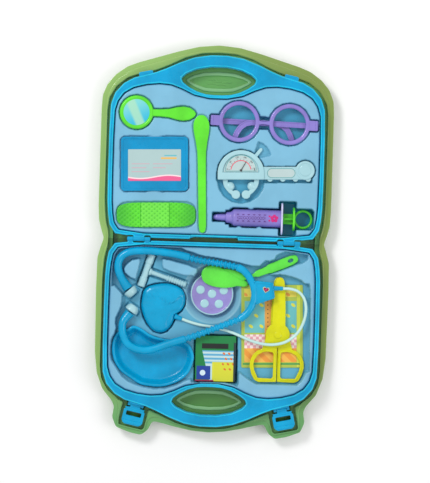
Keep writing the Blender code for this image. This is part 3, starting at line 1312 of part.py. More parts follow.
def make_syringe():
    seat = place(SYRINGE_PLACE_SHARES)
    thumb = BARREL_RADIUS + INSTRUMENT_DROP / 2
    level = LID_TOP - thumb
    at = at_level(seat, level)
    parent = axis("syringe_axis", at, lid_axis)
    inner = BARREL_RADIUS - BARREL_WALL
    end = BARREL_LENGTH
    barrel = turned("barrel", [
        (inner, end), (BARREL_RADIUS, end), (BARREL_RADIUS, 0.0), (CONE_RADIUS, -CONE_LENGTH / 2),
        (CONE_RADIUS * 0.9, -CONE_LENGTH), (NOZZLE_RADIUS, -CONE_LENGTH),
        (NOZZLE_RADIUS * 0.8, -CONE_LENGTH - NOZZLE_LENGTH), (NOZZLE_BORE, -CONE_LENGTH - NOZZLE_LENGTH),
        (NOZZLE_BORE, -CONE_LENGTH), (inner, BARREL_WALL),
    ], along_x(at))
    wing = rectangle(FLANGE_HALF_WIDTH * 2, thumb * 2, corner=thumb * 0.7, steps=3)
    across = Matrix.Translation(at + Vector((end, 0.0, 0.0)))
    across = across @ Matrix.Rotation(math.radians(90), 4, "Z") @ Matrix.Rotation(math.radians(90), 4, "X")
    ring = [wing, circle(inner + BARREL_WALL / 2)[::-1]]
    flange = moved(slab("flange", ring, -FLANGE_THICKNESS, 0.0), across)
    join(barrel, flange)
    finish(barrel, "syringe_barrel", parent, PURPLE)

    slide = axis("plunger_axis", at, parent)
    rod_start = SEAL_LENGTH + PLUNGER_OUT + BARREL_WALL
    rod_end = end + PLUNGER_OUT
    rod = block("rod", (at.x + rod_start, at.y - PLUNGER_ROD, at.z - PLUNGER_RIB / 2),
                (at.x + rod_end, at.y + PLUNGER_ROD, at.z + PLUNGER_RIB / 2))
    web = block("web", (at.x + rod_start + FIT_GAP, at.y - PLUNGER_RIB / 2, at.z - PLUNGER_ROD),
                (at.x + rod_end, at.y + PLUNGER_RIB / 2, at.z + PLUNGER_ROD))
    neck_end = rod_start - SEAL_LENGTH - FIT_GAP * 2
    neck = turned("neck", [
        (0.0, rod_start + FIT_GAP * 2), (SEAL_NECK * 2, rod_start + FIT_GAP * 2), (SEAL_NECK * 2, rod_start),
        (SEAL_NECK, rod_start), (SEAL_NECK, neck_end), (SEAL_NECK * 1.6, neck_end),
        (SEAL_NECK * 1.2, neck_end - SEAL_NECK / 2), (0.0, neck_end - SEAL_NECK / 2),
    ], along_x(at), SMALL_STEPS)
    thumb_plate = rectangle(THUMB_HALF_WIDTH * 2, thumb * 2, corner=thumb * 0.8, steps=3)
    facing = Matrix.Translation(at + Vector((rod_end, 0.0, 0.0)))
    facing = facing @ Matrix.Rotation(math.radians(90), 4, "Z") @ Matrix.Rotation(math.radians(90), 4, "X")
    thumb_piece = moved(slab("thumb", [thumb_plate], -THUMB_THICKNESS / 2, THUMB_THICKNESS / 2), facing)
    ring_at = (at.x + rod_end + RING_OUTER - THUMB_THICKNESS * 0.1, at.y)
    loop = slab(
        "loop", [circle(RING_OUTER, ring_at), circle(RING_INNER, ring_at)[::-1]],
        at.z - RING_THICKNESS / 2, at.z + RING_THICKNESS / 2, RING_THICKNESS / 5,
    )
    join(rod, web, neck, thumb_piece, loop)
    finish(rod, "syringe_plunger", slide, LIME)
    seal_radius = inner - SEAL_CLEARANCE
    hole = SEAL_NECK + FIT_GAP
    low = rod_start - SEAL_LENGTH - FIT_GAP
    high = rod_start - FIT_GAP
    lip = SEAL_LENGTH / 4
    seal = turned("seal", [
        (hole, high), (seal_radius, high), (seal_radius, high - lip), (seal_radius - lip, high - lip * 1.4),
        (seal_radius - lip, low + lip * 1.4), (seal_radius, low + lip), (seal_radius, low), (hole, low),
    ], along_x(at), SMALL_STEPS)
    finish(seal, "plunger_seal", slide, RUBBER)

    floor = level - thumb - FIT_GAP
    room = POCKET_CLEARANCE
    tail = rod_end + 2 * RING_OUTER + room
    shapes = [
        rectangle(end + CONE_LENGTH / 2, 2 * (BARREL_RADIUS + room), ((end - CONE_LENGTH / 2) / 2, 0.0)),
        rectangle(CONE_LENGTH + room, 2 * (CONE_RADIUS + room), (-CONE_LENGTH / 2, 0.0)),
        rectangle(NOZZLE_LENGTH + CONE_LENGTH + room, 2 * (NOZZLE_RADIUS + room),
                  (-(NOZZLE_LENGTH + CONE_LENGTH + room) / 2, 0.0)),
        rectangle(PLUNGER_OUT + FLANGE_THICKNESS * 2 + room * 3, 2 * (FLANGE_HALF_WIDTH + room),
                  (end + (PLUNGER_OUT - FLANGE_THICKNESS) / 2, 0.0), BARREL_WALL),
        rectangle(tail - end, 2 * (RING_OUTER + room), ((end + tail) / 2, 0.0), BARREL_WALL * 2),
    ]
    for shape in shapes:
        LID_POCKETS.append(([point + seat for point in shape], floor))


def make_stethoscope():
    yoke_outline = softened(places(YOKE_SHARES), NIPPLE_LENGTH)
    yoke_top = LID_TOP - FIT_GAP * 2
    yoke_low = yoke_top - YOKE_THICKNESS
    centre = place(YOKE_PLACE_SHARES)
    parent = axis("stethoscope_axis", at_level(centre, yoke_low), case_axis)
    yoke = slab("yoke", [yoke_outline], yoke_low, yoke_top, YOKE_EDGE)
    yoke_mid = (yoke_low + yoke_top) / 2
    for rib_shares, shares in ((UPPER_RIB_SHARES, UPPER_HORN_SHARES), (LOWER_RIB_SHARES, LOWER_HORN_SHARES)):
        route = places(shares)
        back = spline_points(places(rib_shares), RIBS * 2 + 1)[-2]
        count = 11
        flat = spline_points([route[0] + (route[0] - back).normalized() * ARM_RADIUS / 2] + route[1:], count)
        points = [at_level(route[0], ARM_LEVEL)]
        radii = [ARM_RADIUS]
        for index, point in enumerate(flat):
            t = index / (count - 1)
            points.append(at_level(point, ARM_LEVEL + (yoke_mid - ARM_LEVEL) * t))
            radii.append(ARM_RADIUS * (1 + (HORN_END_SHARE - 1) * t ** 0.7))
        points[-1].z = yoke_mid
        radii[-1] = YOKE_THICKNESS * 0.4
        join(yoke, pipe("horn", points, radii, 3))
    last = Vector(TUBE_ROUTE[-1])
    nipple_x = last.x - FIT_GAP
    edge_x = max(point.x for point in yoke_outline) - NIPPLE_LENGTH
    join(yoke, turned("nipple", [
        (0.0, nipple_x - last.x), (NIPPLE_RADIUS, nipple_x - last.x), (NIPPLE_RADIUS, edge_x - last.x),
        (0.0, edge_x - last.x),
    ], along_x(Vector((last.x, last.y, last.z))), SMALL_STEPS))
    finish(yoke, "stethoscope_yoke", parent, TOY_BLUE)

    tip_level = BASE_SURFACE + EAR_TIP_RADIUS - ARM_RADIUS / 2
    for arm_shares, rib_shares, tip_shares, arm_name, tip_name in (
        (UPPER_ARM_SHARES, UPPER_RIB_SHARES, UPPER_TIP_SHARES, "ear_tube_upper", "ear_tip_upper"),
        (LOWER_ARM_SHARES, LOWER_RIB_SHARES, LOWER_TIP_SHARES, "ear_tube_lower", "ear_tip_lower"),
    ):
        tip = places(tip_shares)
        inward = (tip[1] - tip[0]).normalized()
        base = tip[0] - inward * FIT_GAP
        route = [base - inward * ARM_RADIUS / 2] + places(arm_shares)[1:]
        flat = spline_points(route, ARM_POINTS)
        points = [at_level(base, tip_level)]
        radii = [ARM_RADIUS * ARM_FLARE_SHARE]
        for index, point in enumerate(flat):
            t = min(1.0, index / ARM_RISE_POINTS)
            ease = t * t * (3 - 2 * t)
            points.append(at_level(point, tip_level + (ARM_LEVEL - tip_level) * ease))
            radii.append(ARM_RADIUS * (ARM_FLARE_SHARE + (1 - ARM_FLARE_SHARE) * ease))
        ribs = spline_points(places(rib_shares), RIBS * 2 + 1)
        for index, point in enumerate(ribs[1:-1]):
            points.append(at_level(point, ARM_LEVEL))
            radii.append(ARM_RADIUS - (RIB_DEPTH if index % 2 == 0 else 0.0))
        end = places(rib_shares)[-1]
        back = (ribs[-2] - end).normalized()
        points.append(at_level(end + back * FIT_GAP, ARM_LEVEL))
        radii.append(ARM_RADIUS)
        tube = pipe(arm_name, points, radii, 3)
        finish(tube, arm_name, parent, TOY_BLUE, 50)
        heading = Vector((inward.x, inward.y, 0.0))
        turn = heading.to_track_quat("Z", "Y").to_matrix().to_4x4()
        cap = turned("cap", [
            (0.0, EAR_TIP_LENGTH), (EAR_TIP_RADIUS * EAR_TIP_END_SHARE, EAR_TIP_LENGTH),
            (EAR_TIP_RADIUS * 0.86, EAR_TIP_LENGTH * 0.72), (EAR_TIP_RADIUS, EAR_TIP_LENGTH * 0.2),
            (EAR_TIP_RADIUS, EAR_TIP_LENGTH * 0.08), (EAR_TIP_RADIUS * 0.95, 0.0), (0.0, 0.0),
        ], Matrix.Translation(at_level(tip[0], tip_level)) @ turn, 20)
        finish(cap, tip_name, parent, SOFT_WHITE)
        room = grown([tip[0] + Vector((inward.y, -inward.x)) * EAR_TIP_RADIUS,
                      tip[0] - Vector((inward.y, -inward.x)) * EAR_TIP_RADIUS,
                      tip[0] - Vector((inward.y, -inward.x)) * EAR_TIP_RADIUS + inward * EAR_TIP_LENGTH,
                      tip[0] + Vector((inward.y, -inward.x)) * EAR_TIP_RADIUS + inward * EAR_TIP_LENGTH],
                     POCKET_CLEARANCE)
        BASE_POCKETS.append((room, tip_level - EAR_TIP_RADIUS - FIT_GAP))

    chest_at = place(CHEST_PLACE_SHARES)
    outline = sized(CHEST_SHARES, (CHEST_WIDTH, CHEST_LENGTH), CHEST_PARTS)
    outline = [point + chest_at for point in outline]
    diaphragm_low = DEEP_SEAT + CARD_DROP
    chest_low = diaphragm_low + DIAPHRAGM_THICKNESS + FIT_GAP - DIAPHRAGM_DROP
    chest_top = chest_low + CHEST_THICKNESS
    chest = slab("chest", [outline], chest_low, chest_top, CHEST_EDGE, 2)
    first = Vector(TUBE_ROUTE[0])
    second = Vector(TUBE_ROUTE[1])
    heading = Vector((first.x - second.x, first.y - second.y, 0.0)).normalized()
    inside = sized([CHEST_EXIT_SHARES], (CHEST_WIDTH, CHEST_LENGTH), CHEST_PARTS)[0] + chest_at
    length = (Vector((inside.x, inside.y)) - first.xy).length + CHEST_EDGE
    turn = heading.to_track_quat("Z", "Y").to_matrix().to_4x4()
    nipple = turned("nipple", [
        (0.0, length), (NIPPLE_RADIUS, length), (NIPPLE_RADIUS, FIT_GAP), (0.0, FIT_GAP),
    ], Matrix.Translation(first) @ turn, SMALL_STEPS)
    recess = circle(DIAPHRAGM_RADIUS + FIT_GAP, chest_at)
    join(chest, nipple)
    cut(chest, slab("recess", [recess], chest_low - OVERRUN, diaphragm_low + DIAPHRAGM_THICKNESS + FIT_GAP))
    finish(chest, "chest_piece", parent, TOY_BLUE, 50)
    disc = slab("disc", [circle(DIAPHRAGM_RADIUS, chest_at)], diaphragm_low,
                diaphragm_low + DIAPHRAGM_THICKNESS)
    finish(disc, "chest_diaphragm", parent, SOFT_WHITE)
    BASE_POCKETS.append((grown(outline, POCKET_CLEARANCE), diaphragm_low - FIT_GAP))

    tube = pipe("tube", spline_points(TUBE_ROUTE, TUBE_POINTS), [TUBE_RADIUS] * TUBE_POINTS, 2)
    finish(tube, "stethoscope_tube", parent, SOFT_WHITE, 60)


def make_hammer():
    at = place(HAMMER_PLACE_SHARES)
    level = BASE_SURFACE
    centre = at_level(at, level)
    parent = axis("hammer_axis", centre, case_axis)
    turn = Matrix.Rotation(math.radians(HAMMER_TILT_DEGREES), 4, "Z")
    frame = Matrix.Translation(centre) @ turn
    across = frame @ Matrix.Rotation(math.radians(-90), 4, "X")
    half = HAMMER_HEAD_LENGTH / 2
    radius = HAMMER_HEAD_RADIUS
    profile = [
        (0.0, half), (radius * 0.8, half), (radius, half * 0.9), (radius, half * 0.45),
        (radius * 0.78, half * 0.3), (radius * 0.78, -half * 0.3), (radius, -half * 0.45),
        (radius, -half * 0.9), (radius * 0.8, -half), (0.0, -half),
    ]
    head = turned("head", profile, across, 20)
    finish(head, "hammer_head", parent, SOFT_WHITE)
    start = radius * 0.78 + FIT_GAP
    grip_start = start + HAMMER_HANDLE_LENGTH * HAMMER_GRIP_SHARE
    end = start + HAMMER_HANDLE_LENGTH
    outline = [(0.0, end), (HAMMER_GRIP_RADIUS * 0.7, end)]
    pitch = (end - grip_start) / HAMMER_GRIP_RINGS
    for index in range(HAMMER_GRIP_RINGS):
        place_along = end - pitch * (index + 0.25)
        outline.append((HAMMER_GRIP_RADIUS, place_along))
        outline.append((HAMMER_GRIP_RADIUS, place_along - pitch * 0.35))
        outline.append((HAMMER_GRIP_RADIUS * 0.84, place_along - pitch / 2))
    outline += [
        (HAMMER_HANDLE_RADIUS, grip_start - pitch / 2), (HAMMER_HANDLE_RADIUS, start + HAMMER_COLLAR_LENGTH),
        (HAMMER_COLLAR_RADIUS, start + HAMMER_COLLAR_LENGTH * 0.8), (HAMMER_COLLAR_RADIUS * 0.9, start),
        (0.0, start),
    ]
    handle = turned("handle", outline, frame @ Matrix.Rotation(math.radians(90), 4, "Y"), SMALL_STEPS)
    finish(handle, "hammer_handle", parent, SOFT_WHITE)
    room = POCKET_CLEARANCE
    floor = level - radius - FIT_GAP
    head_room = rectangle(2 * (radius + room), HAMMER_HEAD_LENGTH + 2 * room)
    grip_room = rectangle(end + room, 2 * (HAMMER_COLLAR_RADIUS + room), ((end + room) / 2, 0.0))
    for shape in (head_room, grip_room):
        BASE_POCKETS.append((turned_about(shape, HAMMER_TILT_DEGREES, at), floor))


def make_pill_dish():
    at = place(PILL_PLACE_SHARES)
    parent = axis("pill_dish_axis", at_level(at, DEEP_SEAT), case_axis)
    inside = PILL_RADIUS - PILL_COVER_SKIN
    base = slab("base", [circle(inside - FIT_GAP, at)], DEEP_SEAT, DEEP_SEAT + PILL_FLOOR)
    spots = [Vector((0.0, 0.0))]
    for index in range(PILLS_AROUND):
        angle = math.radians(90) + 2 * math.pi * index / PILLS_AROUND
        spots.append(Vector((math.cos(angle), math.sin(angle))) * PILL_RING_RADIUS)
    spots = [spot + at for spot in spots]
    top = PILL_TOP
    for spot in spots:
        join(base, slab("boss", [circle(PILL_BOSS_RADIUS, spot, SMALL_STEPS)],
                        DEEP_SEAT + PILL_FLOOR / 2, top - FIT_GAP))
    finish(base, "pill_dish_base", parent, SOFT_WHITE)
    edge = PILL_COVER_SKIN / 2
    cover = turned("cover", [
        (0.0, top), (PILL_RADIUS - edge, top), (PILL_RADIUS, top - edge), (PILL_RADIUS, DEEP_SEAT),
        (inside, DEEP_SEAT), (inside, top - PILL_COVER_SKIN), (0.0, top - PILL_COVER_SKIN),
    ], upright(at_level(at, 0.0)))
    for spot in spots:
        cut(cover, slab("hole", [circle(PILL_HOLE_RADIUS, spot, SMALL_STEPS)],
                        top - PILL_COVER_SKIN - OVERRUN, top + OVERRUN))
    finish(cover, "pill_dish_cover", parent, PURPLE)
    BASE_POCKETS.append((circle(PILL_RADIUS + POCKET_CLEARANCE, at), DEEP_FLOOR))


def make_spoon():
    at = place(SPOON_PLACE_SHARES)
    parent = axis("spoon_axis", at_level(at, SPOON_SEAT), case_axis)
    steps = 6
    outer = []
    inner = []
    for step in range(steps):
        angle = math.radians(90) * step / (steps - 1)
        outer.append((math.cos(angle), -math.sin(angle)))
        inner.append((math.cos(angle), -math.sin(angle)))
    rim = BOWL_HALF_WIDTH
    profile = []
    for x, z in inner[::-1]:
        profile.append((x * (rim - BOWL_WALL), SPOON_TOP + z * (BOWL_DEPTH - BOWL_WALL)))
    for x, z in outer:
        profile.append((x * rim, SPOON_TOP + z * BOWL_DEPTH))
    profile[0] = (0.0, profile[0][1])
    profile[-1] = (0.0, profile[-1][1])
    bowl = turned("bowl", profile, Matrix.Identity(4), 24)
    moved(bowl, Matrix.Diagonal((BOWL_HALF_LENGTH / BOWL_HALF_WIDTH, 1.0, 1.0, 1.0)))
    start = Vector((BOWL_HALF_LENGTH - BOWL_WALL, 0.0))
    half = sized(SPOON_HANDLE_SHARES, (SPOON_HANDLE_LENGTH, SPOON_HANDLE_WIDTH), SPOON_HANDLE_PARTS)
    handle = turned_about(both_edges(half), SPOON_TILT_DEGREES, start)
    slot = rectangle(SPOON_SLOT_LENGTH, SPOON_SLOT_WIDTH,
                     (SPOON_HANDLE_LENGTH - SPOON_SLOT_INSET, 0.0), SPOON_SLOT_WIDTH * 0.4)
    slot = turned_about(slot, SPOON_TILT_DEGREES, start)
    bar = slab("handle", [handle, slot[::-1]], SPOON_TOP - SPOON_THICKNESS, SPOON_TOP - FIT_GAP, BOWL_WALL / 4)
    join(bowl, bar)
    moved(bowl, Matrix.Translation(at_level(at, 0.0)))
    finish(bowl, "spoon", parent, LIME)


def make_scissors():
    at = place(SCISSORS_PLACE_SHARES)
    parent = axis("scissors_axis", at_level(at, SCISSORS_SEAT), case_axis)
    swing = axis("scissors_pivot", at_level(at, SCISSORS_SEAT + BLADE_THICKNESS + FIT_GAP), parent)
    half = sized(BLADE_SHARES, (BLADE_LENGTH, BLADE_WIDTH), BLADE_PARTS)
    blade = both_edges(half)
    for side, name, level, holder in (
        (1, "scissors_half_a", SCISSORS_SEAT, parent),
        (-1, "scissors_half_b", SCISSORS_SEAT + BLADE_THICKNESS + FIT_GAP, swing),
    ):
        top = level + BLADE_THICKNESS
        shape = turned_about(blade, 90, (-side * BLADE_STAGGER / 2, 0.0))
        body = slab("blade", [softened(shape, BLADE_WIDTH * 0.4)], level, top)
        disc = slab("disc", [circle(PIVOT_RADIUS)], level, top)
        outer, inner = (
            [Vector((side * point.x, point.y)) for point in sized(shares, (LOOP_REACH, LOOP_DROP), LOOP_PARTS)]
            for shares in (LOOP_SHARES, LOOP_HOLE_SHARES)
        )
        root = Vector((side * PIVOT_RADIUS * 0.3, 0.0))
        shank = strip([root, Vector((side * SHANK_WIDTH * 0.8, -LOOP_DROP * 0.34))],
                      [SHANK_WIDTH * 1.3, SHANK_WIDTH * 1.3])
        join(body, disc, slab("shank", [shank], level, top), slab("loop", [outer], level, top))
        hole = slab("hole", [inner], level - OVERRUN, top + OVERRUN)
        bore = slab("bore", [circle(RIVET_RADIUS + FIT_GAP, steps=SMALL_STEPS)], level - OVERRUN, top + OVERRUN)
        cut(body, hole, bore)
        moved(body, Matrix.Translation(at_level(at, 0.0)))
        finish(body, name, holder, YELLOW)
    top = SCISSORS_SEAT + 2 * BLADE_THICKNESS + 2 * FIT_GAP
    head = RIVET_HEAD_RADIUS
    rivet = turned("rivet", [
        (0.0, top + RIVET_HEAD_HEIGHT), (head * 0.7, top + RIVET_HEAD_HEIGHT),
        (head, top + RIVET_HEAD_HEIGHT * 0.4), (head, top), (RIVET_RADIUS, top), (RIVET_RADIUS, SCISSORS_SEAT),
        (0.0, SCISSORS_SEAT),
    ], upright(at_level(at, 0.0)), SMALL_STEPS)
    finish(rivet, "scissors_rivet", parent, YELLOW)


def make_card():
    at = place(CARD_PLACE_SHARES)
    parent = axis("picture_card_axis", at_level(at, CARD_SEAT), case_axis)
    outline = turned_about(rectangle(CARD_WIDTH, CARD_LENGTH, corner=DISH_WALL), SET_TILT_DEGREES, at)
    card = slab("card", [outline], CARD_SEAT, CARD_SEAT + CARD_THICKNESS)
    finish(card, "picture_card", parent, CARD_TONE)
    BASE_POCKETS.append((grown(outline, POCKET_CLEARANCE), CARD_SEAT - FIT_GAP))


def make_carton():
    at = place(CARTON_PLACE_SHARES)
    parent = axis("carton_axis", at_level(at, DEEP_SEAT), case_axis)
    outline = turned_about(rectangle(CARTON_WIDTH, CARTON_LENGTH), CARTON_TILT_DEGREES, at)
    carton = slab("carton", [outline], DEEP_SEAT, DEEP_SEAT + CARTON_HEIGHT, FIT_GAP)
    finish(carton, "medicine_carton", parent, PAPER)
    BASE_POCKETS.append((grown(outline, POCKET_CLEARANCE), DEEP_FLOOR))


def make_dish():
    at = place(DISH_PLACE_SHARES)
    parent = axis("kidney_dish_axis", at_level(at, DEEP_SEAT), case_axis)
    outline = sized(DISH_SHARES, (DISH_WIDTH, DISH_LENGTH), DISH_PARTS)
    outline = [point + at for point in outline]
    body = grown(outline, -DISH_LIP)
    dish = slab("dish", [body], DEEP_SEAT, DISH_TOP - DISH_LIP_HEIGHT / 2, DISH_WALL)
    join(dish, slab("lip", [outline], DISH_TOP - DISH_LIP_HEIGHT, DISH_TOP, DISH_LIP_HEIGHT / 4))
    hollow = grown(body, -DISH_WALL)
    cut(dish, slab("hollow", [hollow], DEEP_SEAT + DISH_WALL, DISH_TOP + OVERRUN))
    finish(dish, "kidney_dish", parent, TOY_BLUE)
    BASE_POCKETS.append((grown(body, POCKET_CLEARANCE), DEEP_FLOOR))


make_tray()
make_shell(-1, "case_base", case_axis)
make_shell(1, "case_lid", lid_axis)
make_hinge_pin(-1, "hinge_pin_left")
make_hinge_pin(1, "hinge_pin_right")
make_latch(-1, "latch_left")
make_latch(1, "latch_right")
make_mirror()
make_name_card()
make_bandage()
make_depressor()
make_glasses()
make_gauge()
make_syringe()
make_stethoscope()
make_hammer()
make_pill_dish()
make_spoon()
make_scissors()
make_card()
make_carton()
make_dish()
make_insert(1, "tray_insert_lid", lid_axis, LID_POCKETS, LID_SURFACE)
make_insert(-1, "tray_insert_base", case_axis, BASE_POCKETS, BASE_SURFACE)
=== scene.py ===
import bpy
import bmesh
import math
import numpy as np
from mathutils import Matrix, Vector
from mathutils.bvhtree import BVHTree


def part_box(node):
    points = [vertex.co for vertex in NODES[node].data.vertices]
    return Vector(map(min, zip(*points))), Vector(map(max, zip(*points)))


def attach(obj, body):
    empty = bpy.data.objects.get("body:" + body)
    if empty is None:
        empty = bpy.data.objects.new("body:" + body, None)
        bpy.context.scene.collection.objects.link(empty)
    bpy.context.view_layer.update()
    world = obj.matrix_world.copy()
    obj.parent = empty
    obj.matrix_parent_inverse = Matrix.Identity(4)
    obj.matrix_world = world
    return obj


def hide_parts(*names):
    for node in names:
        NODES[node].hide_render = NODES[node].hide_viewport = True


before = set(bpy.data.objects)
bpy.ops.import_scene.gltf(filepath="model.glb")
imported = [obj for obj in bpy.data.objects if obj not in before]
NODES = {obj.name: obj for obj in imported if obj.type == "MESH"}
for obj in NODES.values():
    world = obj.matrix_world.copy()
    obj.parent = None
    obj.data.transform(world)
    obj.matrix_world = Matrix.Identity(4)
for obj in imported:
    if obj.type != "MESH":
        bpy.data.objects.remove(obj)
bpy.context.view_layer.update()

# levels and places in mm, and turns in degrees
RIM = 28.5
PIN_LEVEL = RIM + 0.15
ROD_LEVEL = RIM - 8
HINGE = 91.5
LATCH_X = 88.5
LATCH_Y = 200.5
LATCH_LEAN = 12
LID_TOP = 27.9
TILT = 1.8
MIRROR_AT = (-99.1, 154.4)
NAME_CARD_AT = (-75.2, 92.1)
LABEL_DROP = 1.6
BANDAGE_AT = (-71.4, 30)
PILL_DISH_AT = (-0.2, -64.6)
CARD_AT = (74.7, -102.1)
CARTON_AT = (6.6, -143.8)
CARTON_TURN = 0.5
GLASSES_AT = (57.2, 146.0)
GLASSES_TILT = -1.6
GAUGE_AT = (30.5, 83.6)
SYRINGE_AT = (22.4, 29.8, 16.8)
HEART_AT = (65.5, -57.2)
CHEST_AT = (-59.6, -84.0)
HAMMER_AT = (-81.6, -38.4, 13.5)
HAMMER_TURN = -18
SPOON_AT = (13.2, -45.0)
SPOON_TURN = -13
RIVET_AT = (81.8, -112.4)
KIDNEY_DISH_AT = (-70.4, -143.3)

# points nearer than this, in metres, become one
WELD = 0.000002

# camera, looking straight down
FIELD = 0.524
LENS = 150
SENSOR = 36
CAMERA_TURN = 1.79

camera_data = bpy.data.cameras.new("camera")
camera_data.sensor_fit = "HORIZONTAL"
camera_data.sensor_width = SENSOR
camera_data.lens = LENS
camera = bpy.data.objects.new("camera", camera_data)
camera.location = (0.00147, -0.00032, RIM / 1000 + FIELD * LENS / SENSOR)
camera.rotation_euler = (0.0, 0.0, math.radians(CAMERA_TURN))
bpy.context.scene.collection.objects.link(camera)
bpy.context.scene.camera = camera


# materials
def rgb(*screen):
    """A linear colour from 0-255 screen values."""
    shares = [value / 255 for value in screen]
    return (*[s / 12.92 if s <= 0.04045 else ((s + 0.055) / 1.055) ** 2.4 for s in shares], 1.0)


class Maker:
    """Small helper round a material's nodes."""

    def __init__(self, name):
        self.mat = bpy.data.materials.new(name)
        self.mat.use_nodes = True
        self.tree = self.mat.node_tree
        self.shader = self.tree.nodes["Principled BSDF"]
        self.where = self.add("ShaderNodeTexCoord").outputs["Object"]
        self.height = None
        self.relief = 0.0

    def add(self, kind, inputs=None, **values):
        """A new node with its settings and its inputs."""
        node = self.tree.nodes.new(kind)
        for key, value in values.items():
            setattr(node, key, value)
        self.feed(node, inputs or {})
        return node

    def feed(self, node, inputs):
        """Gives each input a value, or a link from another node."""
        for key, value in inputs.items():
            if isinstance(value, (int, float, tuple)):
                node.inputs[key].default_value = value
            else:
                self.tree.links.new(value, node.inputs[key])

    def noise(self, scale, detail=3.0, rough=0.5):
        inputs = {"Scale": scale, "Detail": detail, "Roughness": rough, "Vector": self.where}
        return self.add("ShaderNodeTexNoise", inputs).outputs["Fac"]

    def span(self, value, low, high, to_low=0.0, to_high=1.0):
        """A value eased from one range to another."""
        inputs = {"From Min": low, "From Max": high, "To Min": to_low, "To Max": to_high, "Value": value}
        return self.add("ShaderNodeMapRange", inputs, interpolation_type="SMOOTHSTEP").outputs["Result"]

    def maths(self, kind, *values):
        return self.add("ShaderNodeMath", dict(enumerate(values)), operation=kind).outputs[0]

    def times(self, a, b):
        return self.maths("MULTIPLY", a, b)

    def plus(self, a, b):
        return self.maths("ADD", a, b)

    def minus(self, a, b):
        return self.maths("SUBTRACT", a, b)

    def above(self, a, b):
        return self.maths("GREATER_THAN", a, b)

    def below(self, a, b):
        return self.maths("LESS_THAN", a, b)

    def mix(self, fac, a, b):
        node = self.add("ShaderNodeMix", {"Factor": fac, "A": a, "B": b}, data_type="RGBA")
        return node.outputs["Result"]

    def axes(self):
        """The three co-ordinates of a spot in mm."""
        outputs = self.add("ShaderNodeSeparateXYZ", {0: self.where}).outputs
        return [self.times(value, 1000.0) for value in outputs]

    def local(self, centre, degrees):
        """A spot's place on a flat print, along and across it, in mm."""
        x, y = self.axes()[:2]
        c, s = math.cos(math.radians(degrees)), math.sin(math.radians(degrees))
        dx, dy = self.minus(x, centre[0]), self.minus(y, centre[1])
        u = self.plus(self.times(dx, c), self.times(dy, s))
        v = self.minus(self.times(dy, c), self.times(dx, s))
        return u, v

    def patch(self, u, v, left, right, bottom, top):
        """1 inside a rectangle and 0 outside it."""
        across = self.times(self.above(u, left), self.below(u, right))
        along = self.times(self.above(v, bottom), self.below(v, top))
        return self.times(across, along)

    def distance(self, u, v, centre):
        du, dv = self.minus(u, centre[0]), self.minus(v, centre[1])
        return self.maths("SQRT", self.plus(self.times(du, du), self.times(dv, dv)))

    def spots(self, u, v, pitch, radius):
        """1 inside round spots on a square lattice."""
        near_u = self.maths("PINGPONG", u, pitch / 2)
        near_v = self.maths("PINGPONG", v, pitch / 2)
        return self.below(self.distance(near_u, near_v, (0.0, 0.0)), radius)

    def bars(self, value, pitch):
        """1 in every other bar."""
        return self.below(self.maths("PINGPONG", value, pitch), pitch / 2)

    def bump(self, height, strength, distance):
        node = self.add("ShaderNodeBump", {"Strength": strength, "Distance": distance, "Height": height})
        self.feed(self.shader, {"Normal": node.outputs["Normal"]})


def shade(colour, k):
    return (*[min(1, share * k) for share in colour[:3]], 1.0)


def plastic(name, screen, rough=0.3, coat=0.25, grain=900, depth=0.00004, spread=0.12, extra=None,
            specular=0.35):
    """Moulded plastic: cloudy flow marks in the colour, smudges in the gloss, a fine skin."""
    m = Maker(name)
    colour = rgb(*screen)
    cloud = m.span(m.noise(26, 3, 0.6), 0.3, 0.7)
    base = m.mix(cloud, shade(colour, 1 - spread), shade(colour, 1 + spread))
    if extra:
        base = extra(m, base)
    gloss = m.span(m.noise(90, 4, 0.65), 0.3, 0.75, rough * 0.75, rough * 1.35)
    m.feed(m.shader, {
        "Base Color": base, "Roughness": gloss, "Specular IOR Level": specular, "Coat Weight": coat,
        "Coat Roughness": 0.08,
    })
    if m.height is None:
        m.bump(m.noise(grain, 2, 0.5), 0.35, depth)
    else:
        m.bump(m.height, 0.6, m.relief)
    return m.mat


def layered(m, base, layers):
    """A colour with further colours laid over it, each through its own mask."""
    for mask, colour in layers:
        base = m.mix(mask, base, colour)
    return base


def steep(m, low, high):
    """How far a spot is turned away from the eye, as on a rounded edge."""
    facing = m.add("ShaderNodeLayerWeight", {"Blend": 0.5}).outputs["Facing"]
    return m.span(facing, low, high)


def rim_edge_highlight(m, base):
    # painted highlight: a paler cyan laid on where the case's surface turns away from the eye, along its
    # rounded edges
    return m.mix(m.times(steep(m, 0.2, 0.75), 0.55), base, rgb(64, 200, 236))


def lime_depth_shade(m, base):
    # painted shade: a darker green lower down on the lime pieces, below about 27.6 mm
    height = m.axes()[2]
    return m.mix(m.span(height, 25.0, 27.6, 0.75, 0.0), base, rgb(62, 176, 44))


def sheet_depth_and_shade(m, base):
    """Pale on the fields, blue where the sheet dips round the toys, deep teal at the bottom: partly the blue
    case showing through the sheet, partly painted shade in the pockets. The case's half has only a softer
    blue low down, and one even paler blue in the bowl round the pill dish.
    """
    x, y, z = m.axes()
    # painted shade in part: the deeper the sheet goes, the bluer and darker it is painted
    low = m.mix(m.span(z, 8.0, 16.0), rgb(16, 140, 172), rgb(66, 156, 190))
    dip = m.mix(m.span(z, 16.0, 23.6), low, rgb(108, 172, 198))
    field = m.mix(m.span(z, 23.2, 25.4), dip, base)
    base_half = m.below(y, 0.0)
    shallow = m.mix(m.span(z, 12.5, 22.6), rgb(88, 164, 194), base)
    bowl = m.below(m.distance(x, y, PILL_DISH_AT), 37.0)
    shallow = m.mix(bowl, shallow, shade(rgb(126, 184, 206), 0.92))
    return m.mix(base_half, field, shallow)


